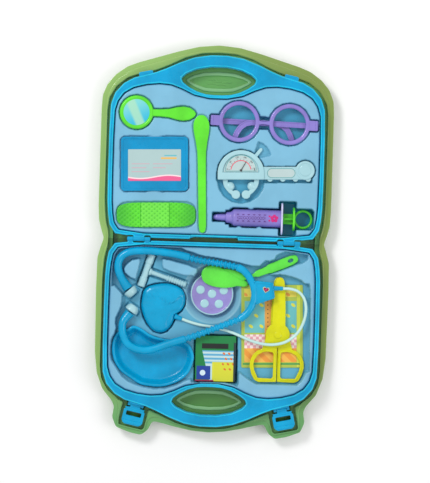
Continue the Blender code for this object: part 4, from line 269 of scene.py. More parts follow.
def tray_tint_and_light(m, base):
    """Paler green on the left and olive on the right, the darkening partly painted shade; cooler towards the
    bottom; painted shade down in the well, darker in the case's half; a painted highlight on the islands'
    rims and on the slopes.
    """
    x, y, z = m.axes()
    # paler green on the left, darker olive on the right: the darkening partly painted shade
    side = m.mix(m.span(x, -120, 125), rgb(146, 184, 104), rgb(122, 138, 66))
    lower = m.mix(m.times(m.span(y, -150, -225), 0.8), side, rgb(70, 150, 98))
    # painted shade: dark green down in the well and on the islands, darker in the case's half
    slot = m.mix(m.below(y, 0.0), rgb(86, 160, 84), rgb(48, 118, 52))
    # painted highlight: a pale green band on the islands' raised rims
    edge = m.times(m.span(z, 10.9, 11.3), m.span(z, 12.0, 11.6, 0.0, 0.6))
    slot = m.mix(edge, slot, rgb(158, 214, 162))
    tint = m.mix(m.span(z, 12.9, 15.0), slot, lower)
    blend = m.mix(0.8, base, tint)
    # painted highlight: paler where the tray's surface turns away from the eye, on its slopes and rounded
    # edges
    return m.mix(m.times(steep(m, 0.25, 0.8), 0.5), blend, rgb(206, 224, 182))


def mirror_reflections(m, base):
    """Painted reflections on the mirror face: a sky gradient across it and a broad slanting band of light."""
    u, v = m.local(MIRROR_AT, 25)
    sky = m.mix(m.span(v, -16, 16), rgb(40, 178, 210), rgb(120, 205, 205))
    band = m.times(m.span(u, -8.5, -4.5), m.span(u, 6.0, 2.0))
    return m.mix(m.times(band, 0.85), sky, rgb(160, 212, 182))


def dimples_and_shade(m, base):
    """A lattice of small diamond dimples with painted shade in them; darker ends, a paler pad and a dark seam
    round it.
    """
    u, v = m.local(BANDAGE_AT, TILT)
    a = m.maths("SINE", m.times(u, math.pi / 3.3))
    b = m.maths("SINE", m.times(v, math.pi / 2.7))
    m.height = m.times(a, b)
    m.relief = 0.0006
    ends = m.mix(m.span(m.maths("ABSOLUTE", u), 22, 46), base, shade(rgb(70, 186, 50), 0.9))
    pad = m.patch(u, v, -18.4, 16.0, -15, 15)
    seam = m.minus(m.patch(u, v, -19.0, 16.6, -15, 15), pad)
    tone = m.mix(m.times(pad, 0.5), ends, rgb(126, 228, 84))
    # painted shade: a darker green down in the dimples
    tone = m.mix(m.span(m.height, -0.15, -0.8, 0.0, 0.5), tone, rgb(44, 160, 40))
    return m.mix(m.times(seam, 0.6), tone, rgb(30, 130, 30))


def wave_print(m, base):
    """A plain name label: fine rules to write on and a waved pink foot."""
    u, v = m.local((NAME_CARD_AT[0], NAME_CARD_AT[1] - LABEL_DROP), TILT)
    crest = m.times(m.maths("SINE", m.times(u, 0.09)), 2.0)
    foot = m.minus(v, crest)
    layers = [
        (m.below(foot, -13.6), rgb(238, 208, 214)),
        (m.below(foot, -15.2), rgb(224, 92, 140)),
    ]
    rules = ((1.2, -28, -6), (-3.6, -28, -10), (-8.4, -28, -6), (1.2, -2, 22), (-3.6, -2, 14))
    for low, left, right in rules:
        layers.append((m.patch(u, v, left, right, low, low + 0.7), rgb(206, 150, 166)))
    layers.append((m.patch(u, v, 8, 27, 7.4, 9.4), rgb(226, 176, 84)))
    layers.append((m.patch(u, v, 12, 27, 11.0, 12.4), rgb(96, 178, 186)))
    return layered(m, base, layers)


def card_print(m, base):
    """A patchwork of borders, spots, checks and slanting stripes."""
    u, v = m.local(CARD_AT, TILT)
    spots = m.spots(m.plus(u, m.times(v, 0.5)), v, 13.0, 2.3)
    dark_dots = m.spots(u, v, 5.2, 0.8)
    check = m.maths("ABSOLUTE", m.minus(m.bars(u, 3.6), m.bars(v, 3.6)))
    slant = m.bars(m.plus(u, v), 8.0)
    inner = m.patch(u, v, -33.5, 32.5, -46.5, 46.5)
    field, top, middle, foot = [m.patch(u, v, -34, 30, low, high)
                                for low, high in ((-8, 31), (36, 46), (-27, -10), (-44, -27))]
    layers = [
        (m.patch(u, v, 30.5, 34.5, -50, 50), rgb(206, 214, 74)),
        (m.times(inner, field), rgb(104, 184, 186)),
        (m.times(spots, field), rgb(214, 212, 70)),
        (top, rgb(224, 208, 84)),
        (m.times(spots, top), rgb(226, 150, 70)),
        (middle, rgb(240, 222, 218)),
        (m.times(check, middle), rgb(226, 160, 172)),
        (foot, rgb(236, 178, 78)),
        (m.times(slant, foot), rgb(230, 150, 60)),
        (m.patch(u, v, -9, 3, -27, 46), rgb(220, 158, 74)),
        (m.times(dark_dots, m.patch(u, v, -8, 2, -26, 45)), rgb(104, 74, 40)),
        (m.patch(u, v, -36, 36, -47.2, -45.2), rgb(60, 150, 80)),
    ]
    return layered(m, base, layers)


def carton_print(m, base):
    """Bands, stripes and plain blocks of colour."""
    u, v = m.local(CARTON_AT, CARTON_TURN)
    stripes = m.bars(v, 2.4)
    spots = m.spots(m.plus(u, m.times(v, 0.4)), v, 6.4, 1.5)
    slope = m.plus(u, m.times(v, 0.25))
    right = m.above(slope, -14.0)
    layers = [
        (m.times(right, m.patch(u, v, -26, 22, -28, 10)), rgb(186, 214, 214)),
        (m.times(m.times(stripes, right), m.patch(u, v, -26, 22, -8, 10)), rgb(92, 164, 200)),
        (m.patch(u, v, -4, 22, -28, -4), rgb(208, 208, 52)),
        (m.times(spots, m.patch(u, v, 8, 22, -14, 9)), rgb(214, 112, 44)),
        (m.patch(u, v, -17, 15.5, 12.2, 18.6), rgb(22, 30, 28)),
        (m.patch(u, v, -23, -6, -25.5, -9), rgb(24, 60, 150)),
        (m.below(m.distance(u, v, (-15.5, -17.5)), 3.4), rgb(206, 224, 232)),
        (m.patch(u, v, -26, -2, -30, -26), rgb(150, 40, 70)),
        (m.patch(u, v, 22, 26, -30, 20), rgb(32, 52, 58)),
    ]
    return layered(m, base, layers)


CASE = plastic("case_plastic", (0, 148, 196), 0.3, 0.15, extra=rim_edge_highlight, specular=0.2)
# the edge beads in a paler copy of the case plastic: painted highlight along the rims
BEAD_HIGHLIGHT = plastic("bead_highlight_plastic", (10, 182, 216), 0.24, 0.3, specular=0.3)
TOY = plastic("toy_plastic", (0, 154, 200), 0.26, 0.2, specular=0.2)
PLATE = plastic("plate_plastic", (0, 136, 186), 0.28, 0.2, specular=0.2)
INSERT = plastic("insert_plastic", (118, 176, 204), 0.34, 0.1, 600, 0.00006, 0.05, sheet_depth_and_shade, 0.3)
LIME = plastic("lime_plastic", (92, 214, 46), 0.28, 0.2, extra=lime_depth_shade, specular=0.25)
SPOON = plastic("spoon_plastic", (92, 214, 66), 0.26, 0.25, specular=0.25)
PURPLE = plastic("purple_plastic", (132, 118, 194), 0.3, 0.2)
WHITE = plastic("white_plastic", (160, 202, 210), 0.3, 0.2, spread=0.04)
TUBE = plastic("soft_tube", (186, 222, 218), 0.4, 0.1, spread=0.04)
YELLOW = plastic("yellow_plastic", (206, 206, 14), 0.3, 0.2, specular=0.2)
TRAY = plastic("tray_plastic", (128, 168, 84), 0.2, 0.4, extra=tray_tint_and_light, specular=0.3)
PAPER = plastic("paper", (178, 198, 198), 0.55, 0.0, 1500, 0.00001, 0.03)
CARD = plastic("card", (168, 186, 74), 0.45, 0.1, 1500, 0.00001, 0.05, card_print)
CARTON = plastic("carton", (20, 122, 62), 0.4, 0.15, 1500, 0.00001, 0.05, carton_print)
GLASS = plastic("mirror_film", (120, 205, 205), 0.12, 0.5, extra=mirror_reflections)
RUBBER = plastic("rubber", (40, 44, 44), 0.5, 0.0)
INK = plastic("ink", (60, 60, 64), 0.5, 0.0)
LABEL = plastic("label", (164, 190, 190), 0.5, 0.1, 1500, 0.00001, 0.02, wave_print)
FLANGE = plastic("flange_plastic", (196, 196, 230), 0.25, 0.3)
TEAL_INK = plastic("teal_ink", (70, 160, 165), 0.5, 0.0)
RED_INK = plastic("red_ink", (222, 84, 104), 0.5, 0.0)
PLUM_INK = plastic("plum_ink", (86, 40, 120), 0.5, 0.0)
PINK_INK = plastic("pink_ink", (200, 36, 120), 0.45, 0.0)
WINE_INK = plastic("wine_ink", (132, 16, 62), 0.45, 0.0)
CREAM = plastic("cream_ink", (196, 200, 160), 0.45, 0.0)
BANDAGE = plastic("bandage_skin", (88, 208, 48), 0.38, 0.1, extra=dimples_and_shade, specular=0.25)
DISC = plastic("dish_cover", (140, 130, 194), 0.3, 0.25)

# the two CAD parts that are shown as they are
for name, look in (("plunger_seal", RUBBER), ("chest_diaphragm", WHITE)):
    materials = NODES[name].data.materials
    materials.clear()
    materials.append(look)


# outlines, all in mm
def even(points, count):
    """Evenly spaced points along a line, both ends kept."""
    pts = np.array(points, float)
    run = np.concatenate([[0], np.cumsum(np.linalg.norm(np.diff(pts, axis=0), axis=1))])
    where = np.linspace(0, run[-1], count)
    return np.stack([np.interp(where, run, pts[:, k]) for k in range(pts.shape[1])], axis=1)


def spline_points(points, count, closed=False):
    """Catmull-Rom through the points, evenly spread by length."""
    pts = np.array(points, float)
    if closed:
        pts = np.vstack([pts[-1], pts, pts[0], pts[1]])
    else:
        pts = np.vstack([2 * pts[0] - pts[1], pts, 2 * pts[-1] - pts[-2]])
    fine = []
    for i in range(1, len(pts) - 2):
        a, b, c, d = pts[i - 1:i + 3]
        t = np.linspace(0, 1, 24, endpoint=False)[:, None]
        fine.append(0.5 * (2 * b + (c - a) * t + (2 * a - 5 * b + 4 * c - d) * t ** 2
                           + (3 * b - a - 3 * c + d) * t ** 3))
    return even(np.vstack(fine + [pts[-2][None]]), count)


def area(loop):
    """The area in a closed outline, below 0 where it runs clockwise."""
    x, y = loop[:, 0], loop[:, 1]
    return float(np.sum(x * np.roll(y, -1) - np.roll(x, -1) * y)) / 2


def girth(loop):
    """The length of a closed outline."""
    return np.linalg.norm(np.diff(np.vstack([loop, loop[:1]]), axis=0), axis=1).sum()


def ring(points, step=1.2, soft=2.0):
    """A closed outline, evenly resampled, counter-clockwise, its corners rounded over about soft mm."""
    pts = np.array(points, float)
    if area(pts) < 0:
        pts = pts[::-1]
    run = girth(pts)
    count = max(24, int(run / step))
    fine = even(np.vstack([pts, pts[:1]]), count + 1)[:-1]
    freq = np.fft.fftfreq(count, d=run / count)
    gain = np.exp(-2 * (math.pi * freq * soft * 0.5) ** 2)
    return np.stack([np.fft.ifft(np.fft.fft(fine[:, k]) * gain).real for k in range(2)], axis=1)


def curved(points, step=1.0):
    """A smooth closed curve through an outline's own points."""
    loop = np.array(points, float)
    pts = loop if area(loop) > 0 else loop[::-1]
    return spline_points(pts, max(24, int(girth(loop) / step)), closed=True)[:-1]


def offset(loop, distance):
    """The closed outline moved outwards by a distance."""
    ahead = np.roll(loop, -1, axis=0) - np.roll(loop, 1, axis=0)
    length = np.linalg.norm(ahead, axis=1)[:, None]
    normal = np.stack([ahead[:, 1], -ahead[:, 0]], axis=1) / np.maximum(length, 1e-9)
    return loop + normal * distance


def stretched(loop, distance):
    """The outline grown by a distance in x and in y, so that slim ends never cross."""
    low, high = loop.min(axis=0), loop.max(axis=0)
    middle, half = (low + high) / 2, (high - low) / 2
    return middle + (loop - middle) * (1 + distance / half)


def turned(points, degrees, centre=(0, 0)):
    """Points turned about the origin and then moved to a centre."""
    c, s = math.cos(math.radians(degrees)), math.sin(math.radians(degrees))
    x, y = np.array(points, float).T
    return np.stack([x * c - y * s + centre[0], x * s + y * c + centre[1]], axis=1)


def spot(x, y, degrees, centre):
    """One point, turned and moved as turned() does."""
    return turned([(x, y)], degrees, centre)[0]


def box(x0, x1, y0, y1):
    """The outline of a plain rectangle."""
    return [(x0, y0), (x1, y0), (x1, y1), (x0, y1)]


def rounded_rect(width, length, centre, corner, turn):
    """A rounded rectangle, turned by degrees about its own centre."""
    pts = []
    for cx, cy, start in ((1, 1, 0), (-1, 1, 90), (-1, -1, 180), (1, -1, 270)):
        for k in range(7):
            angle = math.radians(start + 90 * k / 6)
            pts.append((cx * (width / 2 - corner) + corner * math.cos(angle),
                        cy * (length / 2 - corner) + corner * math.sin(angle)))
    return turned(pts, turn, centre)


def circle(radius, centre=(0, 0), steps=64):
    angles = np.linspace(0, 2 * math.pi, steps, endpoint=False)
    return np.stack([centre[0] + radius * np.cos(angles), centre[1] + radius * np.sin(angles)], axis=1)


def oval(half_x, half_y, power_x, power_y, count):
    """An oval whose sides are flattened by the powers."""
    c, s = circle(1.0, steps=count).T
    return np.stack([np.sign(c) * np.abs(c) ** power_x * half_x, np.sign(s) * np.abs(s) ** power_y * half_y],
                    axis=1)


def arc_band(centre, radius, width, start, end, steps=40):
    angles = np.radians(np.linspace(start, end, steps))
    outer = np.stack([np.cos(angles), np.sin(angles)], axis=1)
    return np.vstack([outer * (radius + width / 2), outer[::-1] * (radius - width / 2)]) + centre


def bar_between(a, b, width):
    """The outline of a straight bar with round ends."""
    a, b = np.array(a, float), np.array(b, float)
    heading = math.atan2(*(b - a)[::-1])
    pts = []
    for centre, start in ((b, -90), (a, 90)):
        for k in range(9):
            angle = heading + math.radians(start + 180 * k / 8)
            pts.append(centre + width / 2 * np.array([math.cos(angle), math.sin(angle)]))
    return np.array(pts)


def sections(node, level):
    """The closed outlines of a CAD node at a level, the largest first."""
    work = bmesh.new()
    work.from_mesh(NODES[node].data)
    bmesh.ops.remove_doubles(work, verts=work.verts, dist=WELD)
    cut = bmesh.ops.bisect_plane(
        work, geom=work.verts[:] + work.edges[:] + work.faces[:], dist=0.0000001,
        plane_co=(0, 0, level / 1000), plane_no=(0, 0, 1), clear_outer=True,
    )
    left = {item: True for item in cut["geom_cut"] if isinstance(item, bmesh.types.BMEdge)}
    loops = []
    while left:
        start, here = left.popitem()[0].verts
        loop = [start, here]
        while here != start:
            onward = [e for e in here.link_edges if e in left]
            if not onward:
                break
            left.pop(onward[0])
            here = onward[0].other_vert(here)
            loop.append(here)
        if len(loop) > 4:
            loops.append(np.array([(v.co.x * 1000, v.co.y * 1000) for v in loop[:-1]]))
    work.free()
    return sorted(loops, key=lambda loop: -abs(area(loop)))


def nearest(loop, points):
    """For each point, its distance to a closed outline and the nearest place on it."""
    best = np.full(len(points), 1e9)
    found = points.copy()
    for a, b in zip(loop, np.roll(loop, -1, axis=0)):
        along = b - a
        t = np.clip(((points - a) @ along) / max(along @ along, 1e-9), 0, 1)[:, None]
        at = a + t * along
        far = np.linalg.norm(points - at, axis=1)
        closer = far < best
        best[closer] = far[closer]
        found[closer] = at[closer]
    return best, found


def inside_of(loop, points):
    """Whether each point is inside a closed outline."""
    inside = np.zeros(len(points), bool)
    x, y = points.T
    for a, b in zip(loop, np.roll(loop, -1, axis=0)):
        if a[1] != b[1]:
            crosses = (a[1] > y) != (b[1] > y)
            inside ^= crosses & (x < (b[0] - a[0]) * (y - a[1]) / (b[1] - a[1]) + a[0])
    return inside


def pushed_out(loop, wall):
    """The outline with its points that lie inside a wall moved onto the wall."""
    crossed = inside_of(wall, loop)
    loop[crossed] = nearest(wall, loop[crossed])[1]
    return loop


# meshes, from sizes in mm
def link(obj):
    """The object, now part of the scene."""
    bpy.context.scene.collection.objects.link(obj)
    return obj


def mesh_from(source):
    """The finished mesh of an object, which is then removed."""
    link(source)
    bpy.context.view_layer.update()
    mesh = bpy.data.meshes.new_from_object(source.evaluated_get(bpy.context.evaluated_depsgraph_get()))
    bpy.data.objects.remove(source, do_unlink=True)
    return mesh


def mesh_of(verts, faces):
    mesh = bpy.data.meshes.new("part")
    mesh.from_pydata([tuple(v) for v in np.array(verts, float) / 1000], [], faces)
    return mesh


def curve_of(dimensions, lines, closed, **values):
    """A curve of straight runs through the points of each line."""
    curve = bpy.data.curves.new("line", "CURVE")
    curve.dimensions = dimensions
    for key, value in values.items():
        setattr(curve, key, value)
    for line in lines:
        spline = curve.splines.new("POLY")
        spline.points.add(len(line) - 1)
        spline.use_cyclic_u = closed
        for target, point in zip(spline.points, line):
            x, y, z = (*point, 0.0)[:3]
            target.co = (x / 1000, y / 1000, z / 1000, 1.0)
    return curve


def slab(outlines, low, high, edge=0.0, rounds=3):
    """A flat moulding with rounded edges; outlines after the first are holes."""
    curve = curve_of("2D", outlines, True, fill_mode="BOTH", extrude=((high - low) / 2 - edge) / 1000,
                     bevel_depth=edge / 1000, bevel_resolution=rounds, offset=-edge / 1000)
    mesh = mesh_from(bpy.data.objects.new("slab", curve))
    mesh.transform(Matrix.Translation((0, 0, (low + high) / 2000)))
    return mesh


def closed_pipe(loop, level, radius, rounds):
    """A round bar along a closed outline at a level."""
    line = np.column_stack([loop, np.full(len(loop), level)])
    return pipe(np.vstack([line, line[:1]]), radius, rounds)


def pipe(points, radius, rounds):
    """A round bar along points."""
    curve = curve_of("3D", [points], False, bevel_depth=0.001, bevel_resolution=rounds, use_fill_caps=True)
    for target in curve.splines[0].points:
        target.radius = radius
    return mesh_from(bpy.data.objects.new("pipe", curve))


def skin(rings, first=True, last=True):
    """A skin through closed rings of one length, with or without its two ends."""
    count = len(rings[0])
    faces = []
    for a in range(0, (len(rings) - 1) * count, count):
        for i in range(count):
            j = (i + 1) % count
            faces.append((a + i, a + j, a + count + j, a + count + i))
    if first:
        faces.append(tuple(range(count))[::-1])
    if last:
        faces.append(tuple(range((len(rings) - 1) * count, len(rings) * count)))
    return mesh_of(np.vstack(rings), faces)


def stepped(loop, rows, move=offset, first=True, last=True):
    """A skin through one outline, moved out and up as each row says."""
    return skin([np.column_stack([move(loop, out), np.full(len(loop), z)]) for out, z in rows], first, last)


def swept(points, radii, around=24):
    """A round sweep with its own radius at every point."""
    points = np.array(points, float)
    radii = np.array(radii, float)
    ahead = np.gradient(points, axis=0)
    ahead /= np.linalg.norm(ahead, axis=1)[:, None]
    up = np.tile(np.array((0.0, 0.0, 1.0)), (len(points), 1))
    side = np.cross(ahead, up)
    side /= np.linalg.norm(side, axis=1)[:, None]
    up = np.cross(side, ahead)
    rows = []
    for k in range(around):
        angle = 2 * math.pi * k / around
        rows.append(points + radii[:, None] * (side * math.cos(angle) + up * math.sin(angle)))
    return skin(np.stack(rows, axis=1))


def rounded(points, rounds):
    """A lathe profile whose listed corners (r, z, radius) are rounded."""
    out = []
    for i, (x, z, radius) in enumerate(points):
        if not radius or i in (0, len(points) - 1):
            out.append((x, z))
            continue
        here = Vector((x, z))
        back = (Vector(points[i - 1][:2]) - here)
        on = (Vector(points[i + 1][:2]) - here)
        start = here + back.normalized() * min(radius, back.length * 0.49)
        end = here + on.normalized() * min(radius, on.length * 0.49)
        for k in range(rounds + 1):
            t = k / rounds
            q = start * (1 - t) ** 2 + here * 2 * t * (1 - t) + end * t * t
            out.append((q.x, q.y))
    return out


def lathe(profile, steps, place, rounds=5):
    """A profile of (radius, height) turned about Z and placed; a third number rounds its corner."""
    if len(profile[0]) == 3:
        profile = rounded(profile, rounds)
    verts = []
    faces = []
    count = len(profile)
    for step in range(steps):
        angle = 2 * math.pi * step / steps
        verts += [(r * math.cos(angle), r * math.sin(angle), z) for r, z in profile]
        a = step * count
        b = (step + 1) % steps * count
        faces += [(a + i, b + i, b + i + 1, a + i + 1) for i in range(count - 1)]
    mesh = mesh_of(verts, faces)
    work = bmesh.new()
    work.from_mesh(mesh)
    bmesh.ops.remove_doubles(work, verts=work.verts, dist=WELD)
    bmesh.ops.dissolve_degenerate(work, edges=work.edges, dist=WELD / 2)
    work.to_mesh(mesh)
    work.free()
    matrix = place.copy() if isinstance(place, Matrix) else Matrix.Translation((*place, 0))
    matrix.translation = matrix.translation / 1000
    mesh.transform(matrix)
    return mesh


def adopt(meshes, name, body, look, replaces=None, smooth=35):
    """One piece of the object, made of meshes, that rides on a body."""
    work = bmesh.new()
    for mesh in meshes:
        work.from_mesh(mesh)
    bmesh.ops.remove_doubles(work, verts=work.verts, dist=WELD)
    bmesh.ops.recalc_face_normals(work, faces=work.faces)
    whole = bpy.data.meshes.new(name)
    work.to_mesh(whole)
    work.free()
    whole.materials.append(look)
    obj = link(bpy.data.objects.new(name, whole))
    for polygon in whole.polygons:
        polygon.use_smooth = True
    whole.set_sharp_from_angle(angle=math.radians(smooth))
    if smooth < 180:
        flats = obj.modifiers.new("flats", "WEIGHTED_NORMAL")
        flats.keep_sharp = True
    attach(obj, body)
    if replaces:
        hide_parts(replaces)
    return obj


# soft tube
TUBE_ROUTE = [
    (-0.0360, -0.0966, 0.0158), (-0.0260, -0.1000, 0.0158), (-0.0140, -0.1030, 0.0158),
    (0.0000, -0.1049, 0.0158), (0.0100, -0.1068, 0.0158), (0.0190, -0.1090, 0.0162),
    (0.0300, -0.1126, 0.0186), (0.0400, -0.1166, 0.0212), (0.0500, -0.1204, 0.0228),
    (0.0620, -0.1234, 0.0232), (0.0745, -0.1242, 0.0232), (0.0870, -0.1220, 0.0232),
    (0.0966, -0.1172, 0.0232), (0.1055, -0.1090, 0.0232), (0.1115, -0.0985, 0.0232),
    (0.1148, -0.0864, 0.0232), (0.1148, -0.0745, 0.0232), (0.1112, -0.0645, 0.0232),
    (0.1040, -0.0578, 0.0232), (0.0945, -0.0553, 0.0232), (0.0865, -0.0552, 0.0232),
]
TUBE_RADIUS = 1.8
route = spline_points(np.array(TUBE_ROUTE) * 1000, 160)
tube_curve = curve_of("3D", [route], False, bevel_depth=TUBE_RADIUS / 1000, bevel_resolution=5,
                      use_fill_caps=True)
tube_curve.splines[0].use_smooth = True
tube_curve.materials.append(TUBE)
tube = link(bpy.data.objects.new("soft_tube", tube_curve))
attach(tube, "stethoscope")
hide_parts("stethoscope_tube")

# display tray
TRAY_CUT = 15.8
TRAY_DEPTH = 18.0
WELL_FLOOR = 1.2
FLANGE_LOW = 15.2
FLANGE_TOP = 16.4


def room(loop, walls):
    """How far each point of an outline is from the nearest of some walls."""
    return np.min([nearest(wall, loop)[0] for wall in walls], axis=0)


def make_tray():
    """A vacuum-formed tray: flange, raised step, drafted well and two islands."""
    outline, well = [ring(loop, 1.5, 3) for loop in sections("display_tray", TRAY_CUT)[:2]]
    outline = ring(pushed_out(outline, offset(well, 3.4)), 1.5, 2)
    step = ring(pushed_out(offset(outline, -6.0), offset(well, 1.6)), 1.5, 3)
    outer = [(1.6, 16.0), (1.2, 12.0), (0.9, 7.0), (0.4, 3.0), (-0.6, 1.2), (-2.2, 0.3), (-4.0, 0.0)]
    inner = [(-5.0, WELL_FLOOR), (-2.6, WELL_FLOOR + 0.2), (-1.2, WELL_FLOOR + 0.8), (-0.4, WELL_FLOOR + 2.2),
             (0.0, 5.0), (0.3, 10.0), (0.5, 15.0), (0.6, 16.4), (1.0, 17.2), (1.6, 17.6)]
    walls = [ring(sections(node, level)[0], 2.0, 2)
             for node in ("case_lid", "case_base") for level in (3, 8, 13)]
    reach = np.clip(room(well, walls) - 1.2, 0.5, 5.5)
    shelf = ring(offset(well, -reach[:, None]), 1.5, 3)
    meshes = [
        slab([outline, well[::-1]], FLANGE_LOW, FLANGE_TOP, 0.5),
        slab([step, offset(well, 0.4)[::-1]], FLANGE_LOW + 0.2, TRAY_DEPTH, 1.2, 4),
        stepped(well, outer, first=False, last=False),
        stepped(well, inner, first=False, last=False),
        slab([ring(offset(well, -3.2), 1.5, 3)], 0.3, WELL_FLOOR + 0.05),
        slab([offset(well, 0.5), shelf[::-1]], 9.8, 12.8, 0.6),
    ]
    rows = [(1.6, 1.0), (0.9, 1.6), (0.3, 3.0), (0.0, 6.0), (-0.2, 9.0), (-0.6, 10.6), (-1.3, 11.3),
            (-2.4, 11.5), (-4.6, 11.5), (-5.4, 11.1), (-6.0, 10.2), (-6.6, 9.7), (-8.0, 9.6), (-11.0, 9.6)]
    for loop in sections("display_tray", 8)[2:4]:
        island = ring(curved(loop), 1.5, 2)
        reach = np.clip(room(island, walls) - 1.2, 0.4, 6.0)
        collar = ring(offset(island, reach[:, None]), 1.5, 2)
        meshes.append(stepped(island, rows, stretched, first=False))
        meshes.append(slab([collar, stretched(island, -0.8)[::-1]], 8.6, 10.6, 0.5))
        middle = (island.min(axis=0) + island.max(axis=0)) / 2
        if middle[1] > 0:
            for x, y in ((-9, 2.6), (4, 3.4), (-2, 0.2), (10, -0.4), (-8, -2.4), (3, -3.2)):
                mark = bar_between(middle + (x - 5, y), middle + (x + 5, y), 1.6)
                meshes.append(slab([mark], 9.2, 10.1, 0.4, 2))
    adopt(meshes, "tray_form", "tray", TRAY, "display_tray", smooth=40)


# case
CASE_FLOOR = 1.5
HINGE_HALF = 13.5
SLOT_HALF = 28.6
SLOT_DEPTH = 5.2


def hinge_bar(x0, x1, radius):
    """A round bar on the hinge line."""
    return pipe([(x0, 0, PIN_LEVEL), (x1, 0, PIN_LEVEL)], radius, 5)


def at_latch(points, end, side=-1):
    """Points of a latch or lug, laid out along x, on the lid's edge (side 1) or the case's (side -1)."""
    lean = -LATCH_LEAN * end if side > 0 else 180 + LATCH_LEAN * end
    return turned(points, lean, (LATCH_X * end, LATCH_Y * side))


def latch_bar(half, radius, rounds, end):
    """A round bar on the line that a latch turns about."""
    ends = at_latch([(-half, 2.8), (half, 2.8)], end)
    return pipe([(*place, ROD_LEVEL) for place in ends], radius, rounds)


def make_shell(node, body, side):
    """One half of the case: rim with edge beads, drafted pan, handle skirt, hinge parts."""
    outer, cavity, hole = [ring(loop, 1.0, 1.0) for loop in sections(node, RIM - 0.6)[:3]]
    if side > 0:
        slot = (np.abs(outer[:, 0]) < SLOT_HALF) & (outer[:, 1] < SLOT_DEPTH)
        outer[slot, 1] = SLOT_DEPTH
    beads = []
    # the beads along the rim's edges, drawn in the paler bead plastic as a painted highlight
    for loop, inset in ((outer, -1.1), (cavity, 1.0), (hole, 1.3)):
        beads.append(closed_pipe(offset(ring(loop, 1.0, 2.0), inset), RIM - 0.75, 0.8, 3))
    adopt(beads, node + "_beads", body, BEAD_HIGHLIGHT)
    grip = [ring(loop, 1.2, 2.0) for loop in sections(node, 20)[:3]]
    if side < 0:
        for end in (-1, 1):
            local = turned(grip[0] - (LATCH_X * end, -LATCH_Y), -(180 + LATCH_LEAN * end))
            ears = (np.abs(local[:, 0]) < 12) & (local[:, 1] > 0.2) & (local[:, 1] < 9)
            grip[0] = ring(at_latch(local[~ears], end), 1.2, 1.0)
    wall, inside = [ring(loop, 1.5, 4) for loop in sections(node, 8)[:2]]
    meshes = [
        slab([outer, cavity[::-1], hole[::-1]], RIM - 4.0, RIM - 0.5, 0.9, 4),
        slab([grip[0]] + [loop[::-1] for loop in grip[1:]], RIM - 15, RIM - 2, 2.0, 4),
        stepped(wall, [(0.0, 16.0), (-0.2, 9.0), (-0.7, 5.5), (-1.8, 3.2), (-3.4, 1.9), (-5.4, CASE_FLOOR),
                       (-6.6, CASE_FLOOR)], first=False),
        stepped(inside, [(-5.2, 3.5), (-4.0, 3.5), (-1.6, 3.9), (-0.5, 5.0), (0.0, 7.0), (0.0, 16.0)],
                last=False),
    ]
    y0, y1 = sorted((1.4 * side, 4.6 * side))
    for end in (-1, 1):
        for low, high in ([(-HINGE_HALF, -7.0), (7.0, HINGE_HALF)] if side < 0 else [(-6.7, 6.7)]):
            a, b = HINGE * end + low, HINGE * end + high
            meshes.append(hinge_bar(a, b, 2.6))
            meshes.append(slab([box(a, b, y0, y1)], RIM - 3.2, RIM - 0.35, 0.4, 2))
        if side > 0:
            lug = [(-8.7, -2), (8.7, -2), (8.7, 3.2), (7.4, 4.4), (-7.4, 4.4), (-8.7, 3.2)]
            meshes.append(slab([at_latch(lug, end, side)], RIM - 4.75, RIM - 1.25, 0.8, 3))
            rib = at_latch(box(-7.0, 7.0, 1.4, 2.4), end, side)
            meshes.append(slab([rib], RIM - 1.8, RIM - 0.9, 0.35, 2))
        else:
            for x0, x1 in ((-9.7, -6.5), (6.5, 9.7)):
                ear = at_latch(box(x0, x1, -2, 4.6), end)
                meshes.append(slab([ear], RIM - 10.2, RIM - 5.8, 0.6, 2))
            meshes.append(latch_bar(9.7, 1.2, 4, end))
    adopt(meshes, node + "_shell", body, CASE, node, smooth=40)


def make_latch(node, end):
    """A latch leaf with its slot, step, grip ridge and barrel."""
    leaf, slot = [ring(loop, 0.7, 0.8) for loop in sections(node, ROD_LEVEL)[:2]]
    meshes = [slab([leaf, slot[::-1]], RIM - 9.3, RIM - 6.7, 0.7, 3)]
    for y0, y1, top in ((22.6, 26.4, RIM - 5.9), (6.6, 9.0, RIM - 6.2)):
        ridge = at_latch([(-12.0, y0), (12.0, y0), (11.4, y1), (-11.4, y1)], end)
        meshes.append(slab([ridge], RIM - 7.6, top, 0.6, 3))
    meshes.append(latch_bar(6.1, 2.15, 5, end))
    adopt(meshes, node + "_leaf", node, TOY, node, smooth=40)


def make_pin(node, end):
    """A hinge pin with its two heads."""
    head = HINGE_HALF + 0.6
    spans = ((-HINGE_HALF, HINGE_HALF, 1.15), (-head, -HINGE_HALF, 1.9), (HINGE_HALF, head, 1.9))
    bars = [hinge_bar(HINGE * end + low, HINGE * end + high, radius) for low, high, radius in spans]
    adopt(bars, node + "_rod", "case", CASE, node)


# formed inserts, sampled every GRID mm
GRID = 0.7
SHEET_EDGE = 2.6
SHEET_DROP = 6.0
LID_LEVEL = 26.2
BASE_LEVEL = 13.5
FIELD_LEVEL = 24.0


